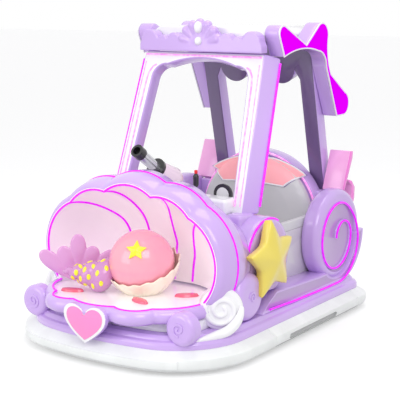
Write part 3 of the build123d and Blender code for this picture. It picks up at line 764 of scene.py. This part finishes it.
def makeDisc():
    discY, discZ, discRadius = swirl["disc"]
    disc = primitive(
        "cylinder", "snailSwirls", vertices=112, radius=discRadius, depth=swirl["outX"] - swirl["inX"],
        location=((swirl["outX"] + swirl["inX"]) / 2, discY, discZ), rotation=(0, math.pi / 2, 0),
    )
    bevel(disc, swirl["rimRound"], 7, angle=60)
    # the outer face gets a sunk dish, a little off the middle
    dishY, dishZ, dishRadius = swirl["turns"][-1]
    pickFaces(disc, lambda c, n: n.x > 0.999)
    bpy.ops.mesh.inset(thickness=discRadius - swirl["rimRound"] - dishRadius, depth=0)
    bpy.ops.transform.translate(value=(0, dishY - discY, dishZ - discZ))
    bpy.ops.mesh.extrude_region_move(TRANSFORM_OT_translate={"value": (-swirl["dish"], 0, 0)})
    bevel(disc, swirl["lip"], 2, angle=60)
    # painted shade: the sunk dish floor takes a darker lavender than the rim
    dress(disc, "lavender", "dusk")
    floor = swirl["outX"] - swirl["dish"]
    paintFaces(disc, 1, lambda c, n: n.x > 0.9 and c.x < floor + 0.002 and c.x > 0.45)
    smooth(disc, 50)
    turned = swirlPath()[:swirl["ridgeTurns"] * (swirl["turnSteps"] + 1)]
    ridge = tube("ridge", [(floor + 0.002, y, z) for y, z in turned], swirl["ridge"], "lavender", sides=4)
    piece = join("snailSwirls", [disc, ridge])
    mirrorX(piece)
    place(piece, "lavender", "snail_swirls")


def makeSwirls():
    makeDisc()
    sill = shape("sillPanels", [sillOutline()], "X", swirl["sillInX"], swirl["sillOutX"])
    pickFaces(sill, lambda c, n: n.x > 0.98)
    bpy.ops.mesh.inset(thickness=swirl["sillRim"], depth=-swirl["sillSink"])
    bevel(sill, swirl["lip"], 2)
    # painted shade: the sunk sill panel takes a darker lavender than its rim
    sunk = swirl["sillOutX"] - swirl["sillSink"] + 0.001
    present(
        sill, "lavender dusk", 40, "lavender", "sill_panels", pair=True,
        where=lambda c, n: n.x > 0.98 and c.x < sunk,
    )
    # the light leaves the disc's face and climbs out on to the sill
    start = len(swirl["turns"]) * (swirl["turnSteps"] + 1) - swirl["climb"]
    light = []
    for i, (y, z) in enumerate(swirlPath()):
        share = min(1, max(0, (i - start) / swirl["climb"]))
        light.append((swirl["faceX"] + share * (swirl["sillX"] - swirl["faceX"]), y, z))
    piece = tube("swirlLight", light, swirl["radius"], "magentaLight")
    mirrorX(piece)
    place(piece, "magenta")


makeSwirls()
print("snail swirls made")


# soft-edged mouldings: star, crown and heart
soft = {
    "star": (0.558, -0.170, 0.421), "starReach": 0.198, "starWaist": 0.56, "starThick": 0.056,
    "starPuff": 0.036, "starTurn": 6, "starVoxel": 0.006, "starRounds": 64,
    "crownFront": 0.0361, "crownDeep": 0.058, "crownFoot": 1.3262, "crownVoxel": 0.0034, "crownRounds": 4,
    # arcs along the top of the crown's left half, from the middle outwards, then its end (x, height)
    "crownMiddle": ((-0.112, 0.062), (0, 0.132), (0.112, 0.062)),
    "crownLobes": (
        ((0.112, 0.062), (0.150, 0.090), (0.186, 0.058)), ((0.186, 0.058), (0.214, 0.078), (0.244, 0.050)),
        ((0.244, 0.050), (0.292, 0.102), (0.342, 0.054)),
    ),
    "crownEnd": ((0.352, 0.030), (0.352, 0.0)),
    "fanFoot": 0.030, "fanReach": 0.105, "fanRibs": 7, "fanStep": 24, "fanY": 0.052,
    "fanNarrow": 0.008, "fanWide": 0.024,
    "heartShare": 0.85, "heartProud": 0.0015, "heartMiddle": 0.54, "heartBevel": 0.006, "heartFront": 0.02,
}


def relax(piece, voxel, rounds):
    # a lay-up mould has no sharp edge: remeshed and relaxed
    modify(piece, "REMESH", mode="VOXEL", voxel_size=voxel)
    modify(piece, "SMOOTH", factor=0.5, iterations=rounds)
    softShade(piece)


def plumpStar(name, reach, waist, thick, puff, turn=0):
    # a five-armed star lying in its own plane, its middle raised, facing +Z
    obj = primitive("circle", name, vertices=10, radius=reach, fill_type="TRIFAN")
    rim = [point for point in obj.data.vertices if point.co.length > reach / 2]
    for i, point in enumerate(sorted(rim, key=lambda v: math.atan2(v.co.y, v.co.x))):
        if i % 2 == 0:
            point.co *= waist
    pickPoints(obj, lambda co: co.length < reach / 4)
    bpy.ops.transform.translate(value=(0, 0, puff))
    modify(obj, "SOLIDIFY", thickness=thick, offset=-1)
    obj.rotation_euler = (0, 0, math.radians(turn))
    settle(obj)
    return obj


def seatOn(obj, spot, direction):
    # stands the piece at a place, its own +Z along a direction, and fixes that in its mesh
    obj.rotation_euler = Vector(direction).to_track_quat("Z", "Y").to_euler()
    obj.location = spot
    settle(obj)


def makeStars():
    sizes = (soft["star" + size] for size in ("Reach", "Waist", "Thick", "Puff", "Turn"))
    star = plumpStar("sideStars", *sizes)
    relax(star, soft["starVoxel"], soft["starRounds"])
    seatOn(star, soft["star"], (1, 0, 0))
    present(star, "star", None, "star_yellow", "side_stars", pair=True)


def makeCrown():
    base = soft["crownFoot"]
    half = arc(*soft["crownMiddle"], 20)[10:]
    for lobe in soft["crownLobes"]:
        half += arc(*lobe, 10)[1:]
    half += soft["crownEnd"]
    outline = [(-x, base + z) for x, z in reversed(half)] + [(x, base + z) for x, z in half[1:]]
    parts = [shape("crownFan", [outline], "Y", soft["crownFront"], soft["crownFront"] + soft["crownDeep"])]
    foot = Vector((0, soft["fanY"], base + soft["fanFoot"]))
    reach, wide = soft["fanReach"], soft["fanWide"]
    for i in range(soft["fanRibs"]):
        turn = math.radians((i - (soft["fanRibs"] - 1) / 2) * soft["fanStep"])
        way = Vector((math.sin(turn), 0, math.cos(turn)))
        parts.append(primitive(
            "cone", "fanRib", vertices=24, radius1=soft["fanNarrow"], radius2=wide, depth=reach,
            location=foot + way * reach / 2, rotation=(0, turn, 0),
        ))
        parts.append(primitive(
            "uv_sphere", "fanEnd", segments=24, ring_count=12, radius=wide, location=foot + way * reach,
        ))
    piece = join("crownFan", parts)
    relax(piece, soft["crownVoxel"], soft["crownRounds"])
    present(piece, "lavender", None, "lavender", "crown")


def makeHeart():
    heart = mouldFrom("heart_badge", "heartBadge", dissolve=1.0)
    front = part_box("heart_badge")[0][1] + 0.001
    bevel(heart, soft["heartBevel"], 3, angle=50)
    pickPoints(heart, lambda co: co.y < front + soft["heartFront"])
    bpy.ops.transform.translate(value=(0, soft["heartProud"], 0))
    objectMode()
    dress(heart, "lavender", "white", "heartPink")
    paintFaces(heart, 1, lambda c, n: c.y < front + soft["heartProud"] + 0.002)
    # the pink face is the same heart, smaller, a little proud of the white one
    face = mouldFrom("heart_badge", "heartFace", dissolve=1.0)
    low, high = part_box("heart_badge")
    middle = ((low[0] + high[0]) / 2, low[1], low[2] + (high[2] - low[2]) * soft["heartMiddle"])
    pickPoints(face, lambda co: True)
    bpy.ops.transform.resize(value=(soft["heartShare"], 0.2, soft["heartShare"]), center_override=middle)
    objectMode()
    bevel(face, 0.0012, 2, angle=50)
    dress(face, "lavender", "white", "heartPink")
    paintFaces(face, 2, lambda c, n: True)
    heart = join("heartBadge", [heart, face])
    smooth(heart, 40)
    place(heart, "heart_pink", "heart_badge")


makeStars()
makeCrown()
makeHeart()
print("star, crown and heart made")


# white scrolls at the front corners
scroll = {
    "spot": (0.481, -0.484, 0.246), "turn": 40, "radius": 0.097, "deep": 0.078, "ridge": 0.012,
    "turns": 1.75, "steps": 60, "from": 70, "inner": 0.010, "outer": 0.074, "rim": 0.020, "voxel": 0.003,
}


def makeCornerSwirls():
    disc = primitive(
        "cylinder", "cornerSwirls", vertices=80, radius=scroll["radius"], depth=scroll["deep"],
        location=(0, 0, -scroll["deep"] / 2),
    )
    bevel(disc, scroll["rim"], 5, angle=60)
    run = []
    for step in range(scroll["steps"] + 1):
        t = step / scroll["steps"]
        reach = scroll["inner"] + (scroll["outer"] - scroll["inner"]) * t
        angle = math.radians(scroll["from"]) - 2 * math.pi * scroll["turns"] * t
        run.append((reach * math.cos(angle), reach * math.sin(angle), 0.001))
    ridge = tube("ridge", run, scroll["ridge"], "white", sides=5, taper=lambda t: 0.75 + 0.25 * t)
    piece = join("cornerSwirls", [disc, ridge])
    relax(piece, scroll["voxel"], 3)
    turn = math.radians(scroll["turn"])
    seatOn(piece, scroll["spot"], (math.sin(turn), -math.cos(turn), 0))
    present(piece, "white", None, "pearl_white", "corner_swirls", pair=True)


makeCornerSwirls()
print("corner swirls made")


# lights of the fender domes, white tails of the corner swirls
arcs = {
    "dome": (-0.112, 0.413), "domeRadius": 0.1775, "domeX": 0.4895, "domeFrom": 196, "domeTo": 62,
    "domeLight": 0.0055, "tailRadius": 0.018,
    # the crescent runs from the disc's side down and forward to the deck's edge
    "tail": (
        (0.552, -0.434, 0.262), (0.552, -0.446, 0.226), (0.542, -0.468, 0.190), (0.522, -0.505, 0.162),
        (0.494, -0.552, 0.150), (0.468, -0.600, 0.142), (0.448, -0.640, 0.136),
    ),
}


def makeArcs():
    around = sweep(arcs["dome"], arcs["domeRadius"], arcs["domeFrom"], arcs["domeTo"], 24)
    light = tube("domeLights", [(arcs["domeX"], y, z) for y, z in around], arcs["domeLight"], "magentaLight")
    mirrorX(light)
    place(light, "magenta")
    tail = tube(
        "swirlTails", spread(arcs["tail"], 6), arcs["tailRadius"], "white", sides=6,
        taper=lambda t: 0.10 + 1.15 * math.sin(math.pi * min(1, 0.10 + 0.86 * t)) ** 0.9,
    )
    mirrorX(tail)
    place(tail, "pearl_white")


makeArcs()
print("dome lights and swirl tails made")


# roof bow: magenta faces edged in white; rear frame with a scalloped header
rear = {
    "foot": (0, 0.735, 0.700), "lean": math.radians(13.4), "deep": 0.078, "out": 0.3296, "in": 0.250,
    "low": -0.107, "high": 0.698, "windowLow": -0.070, "window": 0.543, "shoulder": 0.05,
    "scallop": (0.140, 0.009, 0.084), "bowSideX": 0.411, "bowRim": 0.006,
}


def makeRearOutline():
    # outer edge and window, across and up the leaning frame
    half, inner, top, level = rear["out"], rear["in"], rear["high"], rear["window"]
    outer = [(-half, rear["low"]), (half, rear["low"]), (half, top), (-half, top)]
    x, lift, radius = rear["scallop"]
    reach = math.sqrt(radius**2 - lift**2)
    hole = [(-inner, rear["windowLow"]), (-inner, level - rear["shoulder"])]
    for middle in (-x, x):
        hole += arc((middle - reach, level), (middle, level + lift - radius), (middle + reach, level), 20)
    hole += [(inner, level - rear["shoulder"]), (inner, rear["windowLow"])]
    deep = rear["deep"] / 2
    return shape("rearFrame", [outer, hole], "Y", -deep, deep, lean=rear["lean"], origin=rear["foot"])


def makeBow():
    panels = mouldFrom("bow_panels", "bowPanels", dissolve=0.3)
    pickFaces(panels, lambda c, n: abs(n.x) > 0.98 and abs(c.x) > rear["bowSideX"])
    bpy.ops.mesh.inset(thickness=rear["bowRim"], depth=0)
    objectMode()
    dress(panels, "white", "magentaPanel")
    for face in panels.data.polygons:
        face.material_index = 1 if face.select else 0
    smooth(panels, 30)
    place(panels, "magenta", "bow_panels")
    header = makeRearOutline()
    bevel(header, 0.010, 3)
    # painted shade: the rear frame's faces that look forward or down take a dark violet
    present(
        header, "lavender twilight", 40, "lavender", "rear_frame",
        where=lambda c, n: n.y < -0.5 or n.z < -0.6,
    )


makeBow()
print("bow and rear frame made")


# pink fins: pale front edges, deeper sides
def makeFins():
    fins = mouldFrom("tail_fins", "tailFins")
    bevel(fins, 0.003, 2)
    present(
        fins, "finPink finEdge", 40, "fin_pink", "tail_fins",
        where=lambda c, n: abs(n.x) > 0.9 and abs(c.x) > 0.42,
    )


makeFins()
print("fins made")


# padded seat: cushion, round back and its two-tone panel
seat = {
    "voxel": 0.006, "pressure": 4, "frames": 20, "quality": 5, "cushionCap": 0.016, "backCap": 0.014,
    "cushionShrink": (0.008, 0.008, 0.006), "backShrink": (0.005, 0.004, 0.005),
    "domeFrom": 0.43, "domeRound": 0.032, "domeFall": 2.6,
    "light": (0.350, 0.432), "lightY": 0.606, "lightFrom": 12, "lightTo": 168, "lightRadius": 0.005,
    "panelY": 0.500, "panelVoxel": 0.0045, "panelThick": 0.012, "panelProud": 0.001,
    "binding": 0.0055, "bindingLift": 0.003, "edging": 0.0022, "edgingLift": 0.002, "edgingOut": 0.007,
    "edgingMiddle": 0.68, "rayFrom": 0.3, "missed": 0.60,
    # arcs round the panel: over the top, down the left flank and along the foot (x, height)
    "panelTop": ((-0.286, 0.680), (0, 0.760), (0.286, 0.680)),
    "panelFlank": ((0.286, 0.680), (0.232, 0.655), (0.186, 0.620)),
    "panelFoot": ((0.186, 0.620), (0, 0.630), (-0.186, 0.620)),
}


def blowUp(piece):
    # cloth simulation with pressure and no gravity, applied to the mesh
    activate(piece)
    cloth = piece.modifiers.new("Pad", "CLOTH")
    cloth.settings.use_pressure = True
    cloth.settings.uniform_pressure_force = seat["pressure"]
    cloth.settings.effector_weights.gravity = 0
    cloth.settings.quality = seat["quality"]
    cloth.point_cache.frame_start = 1
    cloth.point_cache.frame_end = seat["frames"]
    for moment in range(1, seat["frames"] + 1):
        bpy.context.scene.frame_set(moment)
    bpy.ops.object.modifier_apply(modifier=cloth.name)
    bpy.context.scene.frame_set(1)


def pad(node, name, shrink, cap, doming=0):
    # a swollen cushion: remeshed, blown up a little, capped, then relaxed
    piece = mouldFrom(node, name, dissolve=0.5)
    low = [min(point.co[k] for point in piece.data.vertices) for k in range(3)]
    high = [max(point.co[k] for point in piece.data.vertices) for k in range(3)]
    for point in piece.data.vertices:
        for k in range(3):
            middle, half = (low[k] + high[k]) / 2, (high[k] - low[k]) / 2
            point.co[k] = middle + (point.co[k] - middle) * (half - shrink[k]) / half
    modify(piece, "REMESH", mode="VOXEL", voxel_size=seat["voxel"])
    modify(piece, "SMOOTH", factor=0.5, iterations=6)
    if doming:
        # the front falls away towards the rim, as on a shell-shaped back
        front, rear = low[1], high[1]
        for point in piece.data.vertices:
            out = math.hypot(point.co.x, point.co.z - seat["domeFrom"]) / high[0]
            share = (rear - point.co.y) / (rear - front)
            point.co.y += doming * min(1, out) ** seat["domeFall"] * max(0, share)
    still = [point.co.copy() for point in piece.data.vertices]
    blowUp(piece)
    for point, first in zip(piece.data.vertices, still):
        shift = point.co - first
        if shift.length > cap:
            shift *= cap / shift.length
        spot = first + shift
        for k in range(3):
            spot[k] = min(max(spot[k], low[k]), high[k])
        point.co = spot
    modify(piece, "SMOOTH", factor=0.5, iterations=4)
    softShade(piece)
    return piece


def onBack(back, x, z, lift):
    # a place on the front of the swollen back, lifted a little off it
    hit, spot, _, _ = back.ray_cast((x, seat["rayFrom"], z), (0, 1, 0))
    return (x, spot.y - lift if hit else seat["missed"], z)


def makePanel(back):
    # the pink panel lies on the swollen back, bound with white and violet piping
    flank = seat["panelFlank"]
    left = tuple((-x, z) for x, z in reversed(flank))
    outline = arc(*seat["panelTop"], 32) + arc(*flank, 12)[1:] + arc(*seat["panelFoot"], 14)[1:]
    outline += arc(*left, 12)[1:-1]
    front, thick = seat["panelY"], seat["panelThick"]
    panel = shape("seatPanel", [outline], "Y", front, front + thick)
    relax(panel, seat["panelVoxel"], 3)
    for point in panel.data.vertices:
        point.co.y += onBack(back, point.co.x, point.co.z, 0)[1] - front - thick / 2 - seat["panelProud"]
    present(panel, "seatPink", None, "seat_pink", "seat_panel")
    run = [onBack(back, x, z, seat["bindingLift"]) for x, z in outline]
    binding = tube("panelBinding", run, seat["binding"], "white", closed=True)
    middle = seat["edgingMiddle"]
    run = []
    for x, z in outline:
        away = Vector((x, z - middle)) * (1 + seat["edgingOut"] / max(0.05, math.hypot(x, z - middle)))
        run.append(onBack(back, away.x, away.y + middle, seat["edgingLift"]))
    cord = tube("panelEdging", run, seat["edging"], "violetEdge", closed=True)
    place(join("panelBinding", [binding, cord]), "seat_pink")


def makeSeat():
    cushion = pad("seat_cushion", "seatCushion", seat["cushionShrink"], seat["cushionCap"])
    present(cushion, "seatGrey", None, "seat_grey", "seat_cushion")
    back = pad("seat_back", "seatBack", seat["backShrink"], seat["backCap"], doming=seat["domeRound"])
    present(back, "seatGrey", None, "seat_grey", "seat_back")
    makePanel(back)
    radius, middle = seat["light"]
    around = sweep((0, middle), radius, seat["lightFrom"], seat["lightTo"], 32)
    run = [(x, seat["lightY"], z) for x, z in around]
    place(tube("seatBackLight", run, seat["lightRadius"], "pinkLight"), "fin_pink")


makeSeat()
print("seat padded")


# controls on the dash
controls = {
    "button": (0.114, -0.150, 0.778), "buttonRadius": 0.008, "buttonHigh": 0.018,
    "web": (0.236, -0.104, 0.676), "webRadius": 0.035, "webThick": 0.008,
    # along the blaster's length from its foot: black tip and collar, and where the silver barrel starts
    "blasterFoot": (-0.118, -0.150, 0.776), "blasterPitch": 34, "tip": 0.141, "collar": (-0.011, 0.0085),
    "barrel": 0.008,
}


def makeControls():
    present(mouldFrom("joystick", "joystickGrip", dissolve=0.3), "black", 40, "grip_black", "joystick")
    button = primitive(
        "cylinder", "stickButton", vertices=24, radius=controls["buttonRadius"], depth=controls["buttonHigh"],
        location=controls["button"],
    )
    bevel(button, 0.003, 3)
    present(button, "red", 40, "heart_pink")
    present(mouldFrom("grip_loop", "gripLoop", dissolve=0.3), "black", 50, "grip_black", "grip_loop")
    web = primitive(
        "cylinder", "gripWeb", vertices=40, radius=controls["webRadius"], depth=controls["webThick"],
        location=controls["web"], rotation=(math.pi / 2, 0, 0),
    )
    bevel(web, 0.002, 2)
    present(web, "seatGrey", 40, "seat_grey")
    blaster = mouldFrom("toy_blaster", "toyBlaster", dissolve=0.3)
    dress(blaster, "blasterPink", "black", "chrome")
    pitch = math.radians(controls["blasterPitch"])
    way = Vector((0, -math.cos(pitch), math.sin(pitch)))
    collarFrom, collarTo = controls["collar"]
    for face in blaster.data.polygons:
        along = (face.center - Vector(controls["blasterFoot"])).dot(way)
        if along > controls["tip"] or collarFrom < along < collarTo:
            face.material_index = 1
        elif along > controls["barrel"]:
            face.material_index = 2
    smooth(blaster, 40)
    place(blaster, "blaster", "toy_blaster")


makeControls()
print("controls made")


# fairings at the feet of the windscreen posts, white binnacle between them
cowl = {
    # x, y and z limits, and the rounding of the edges
    "foot": ((0.322, 0.414), (-0.228, -0.098), (0.500, 0.612)), "footRound": 0.022,
    "binnacle": ((-0.326, 0.326), (-0.222, -0.112), (0.598, 0.674)), "binnacleRound": 0.018,
}


def block(name, limits, rounding):
    # a block between three pairs of limits, rounded
    obj = primitive("cube", name, size=1)
    obj.scale = [high - low for low, high in limits]
    obj.location = [(low + high) / 2 for low, high in limits]
    settle(obj)
    bevel(obj, rounding, 5)
    return obj


def makeCowls():
    foot = block("postFeet", cowl["foot"], cowl["footRound"])
    present(foot, "lavender", 40, "lavender", pair=True)
    present(block("dashBinnacle", cowl["binnacle"], cowl["binnacleRound"]), "white", 40, "pale_body")


makeCowls()
print("post feet and binnacle made")


# soft bumper lengths: rounded, with painted shade in the hand slots
bumpers = {"slotX": (0.57, 0.5975), "slotY": (-0.094, 0.376), "slotZ": (0.026, 0.062)}


def inSlot(c, n):
    # inside a hand slot of the left or the right length
    spot = (abs(c.x), c.y, c.z)
    return all(bumpers["slot" + k][0] < spot[i] < bumpers["slot" + k][1] for i, k in enumerate("XYZ"))


def makeBumpers():
    for end in ("front", "rear", "left", "right"):
        piece = mouldFrom("bumper_" + end, "bumper" + end.title(), dissolve=0.4)
        bevel(piece, 0.003, 2, angle=24)
        slotted = inSlot if end in ("left", "right") else None
        # painted shade: faces inside the hand slots take a darker grey
        present(piece, "bumper slotGrey", 40, "bumper", "bumper_" + end, where=slotted)


makeBumpers()
print("bumpers made")


# sea group in the shell: pearl in a cream scallop, dotted whelk, sea fan, starfish and petals
sea = {
    "pearl": (0.036, -0.470, 0.396), "pearlRadius": 0.150, "trayFloor": 0.2585,
    "starfish": (0.096, -0.592, 0.486), "starfishReach": 0.050, "starfishLift": 0.003,
    "cupRise": -0.020, "cupLean": (0, -0.42, 1), "cupOut": 0.006, "cupWall": 0.006, "flutes": 16,
    "fluteDeep": 0.045, "cupFlare": 0.05, "fluteRise": 0.007,
    "fan": (-0.300, -0.520, 0.262), "fanReach": 0.235, "fanShort": 0.82, "fanRibs": 5, "fanStep": 25,
    "fanYaw": 34, "lobe": (0.036, 0.010), "lobeFoot": 0.30, "lobeGrow": 1.25,
    "conchMouth": (-0.092, -0.540, 0.322), "conchTip": (-0.292, -0.662, 0.352), "conchLong": 0.225,
    "conchTurns": 4.5, "conchSteps": 96, "conchRadius": 0.062, "conchWind": 0.52, "buttons": 34,
    "buttonRadius": 0.0095, "buttonStretch": (1, 1.5, 0.35), "buttonTurn": 2.4, "buttonsFrom": 0.272,
}


def makeConch():
    # a whelk: a tapering tube wound round an axis that leans back to the left
    mouth, radius = Vector(sea["conchMouth"]), sea["conchRadius"]
    axis = (Vector(sea["conchTip"]) - mouth).normalized()
    side = axis.cross(Vector((0, 0, 1))).normalized()
    up = side.cross(axis)
    run = []
    for step in range(sea["conchSteps"] + 1):
        t = step / sea["conchSteps"]
        angle = 2 * math.pi * sea["conchTurns"] * t
        run.append(
            mouth + axis * sea["conchLong"] * (1 - (1 - t) ** 1.5)
            + (side * math.cos(angle) + up * math.sin(angle)) * radius * sea["conchWind"] * (1 - t) ** 1.35
        )
    conch = tube("conchShell", run, radius, "mauve", sides=8, taper=lambda t: 0.06 + 0.94 * (1 - t) ** 1.2)
    relax(conch, 0.004, 2)
    dress(conch, "mauve", "dot")
    # yellow buttons scattered over its whorls
    buttons = []
    for i in range(sea["buttons"]):
        t = (i + 0.6) / sea["buttons"]
        angle = i * sea["buttonTurn"]
        middle = mouth + axis * sea["conchLong"] * (0.04 + 0.72 * t)
        way = side * math.cos(angle) + up * math.sin(angle)
        hit, spot, normal, _ = conch.ray_cast(middle + way * 0.3, -way)
        if hit and spot.z > sea["buttonsFrom"]:
            button = primitive("uv_sphere", "button", segments=18, ring_count=10, radius=sea["buttonRadius"])
            button.scale = sea["buttonStretch"]
            settle(button)
            seatOn(button, spot, normal)
            dress(button, "mauve", "dot")
            paintFaces(button, 1, lambda c, n: True)
            softShade(button)
            buttons.append(button)
    piece = join("conchShell", [conch] + buttons)
    cutOff(piece, (0, 0, sea["trayFloor"]), (0, 0, -1), fill=True)
    place(piece, "mauve", "conch_shell")


def makeCoral():
    # an orchid sea fan: flat lobes spread from a short stem
    parts = []
    foot = Vector(sea["fan"])
    for i in range(sea["fanRibs"]):
        turn = math.radians((i - (sea["fanRibs"] - 1) / 2) * sea["fanStep"])
        reach = sea["fanReach"] * (sea["fanShort"] if i % 2 else 1.0)
        way = Vector((math.sin(turn), 0, math.cos(turn)))
        lobe = primitive("uv_sphere", "lobe", segments=24, ring_count=14, radius=1)
        lobe.scale = (*sea["lobe"], reach / 2)
        lobe.rotation_euler = (0, turn, 0)
        lobe.location = foot + way * reach / 2
        settle(lobe)
        for point in lobe.data.vertices:
            out = point.co - foot
            grow = sea["lobeFoot"] + sea["lobeGrow"] * out.length / reach
            point.co += (out - way * out.dot(way)) * (grow - 1)
        parts.append(lobe)
    fan = join("coralFan", parts)
    relax(fan, 0.0035, 3)
    turned = math.radians(sea["fanYaw"])
    for point in fan.data.vertices:
        x, y = point.co.x - foot.x, point.co.y - foot.y
        point.co.x = foot.x + x * math.cos(turned) - y * math.sin(turned)
        point.co.y = foot.y + x * math.sin(turned) + y * math.cos(turned)
    present(fan, "orchid", None, "mauve")


def makeCup():
    # cream scallop that cradles the pearl: a fluted bowl
    x, y, z = sea["pearl"]
    radius = sea["pearlRadius"]
    cup = primitive(
        "uv_sphere", "creamScallop", segments=112, ring_count=36, radius=radius + sea["cupOut"],
        location=sea["pearl"],
    )
    cutOff(cup, (x, y, z + sea["cupRise"]), sea["cupLean"])
    for point in cup.data.vertices:
        wave = math.cos(sea["flutes"] * math.atan2(point.co.y - y, point.co.x - x))
        rise = max(0, (point.co.z - (z - radius)) / radius)
        grow = 1 + sea["fluteDeep"] * rise * (1 + wave) / 2 + sea["cupFlare"] * rise**2
        point.co.x = x + (point.co.x - x) * grow
        point.co.y = y + (point.co.y - y) * grow
        point.co.z += sea["fluteRise"] * rise * wave
    cutOff(cup, (x, y, sea["trayFloor"]), (0, 0, -1))
    modify(cup, "SOLIDIFY", thickness=sea["cupWall"], offset=1)
    bevel(cup, 0.0015, 2, angle=50)
    present(cup, "cream", 60, "pearl_white")


def makeSeaGroup():
    present(mouldFrom("shell_pearl", "rosePearl", dissolve=0.05), "rose", 60, "pearl_rose", "shell_pearl")
    makeCup()
    makeConch()
    makeCoral()
    fish = plumpStar("starfish", sea["starfishReach"], 0.5, 0.010, 0.010)
    relax(fish, 0.0016, 5)
    pearl = Vector(sea["pearl"])
    out = Vector(sea["starfish"]) - pearl
    seatOn(fish, pearl + out.normalized() * (sea["pearlRadius"] + sea["starfishLift"]), out)
    present(fish, "dot", None, "star_yellow")
    petals = mouldFrom("tray_petals", "trayPetals", dissolve=0.5)
    bevel(petals, 0.004, 3, angle=25)
    present(petals, "petal", 60, "petal_red", "tray_petals")


makeSeaGroup()
print("sea group made")
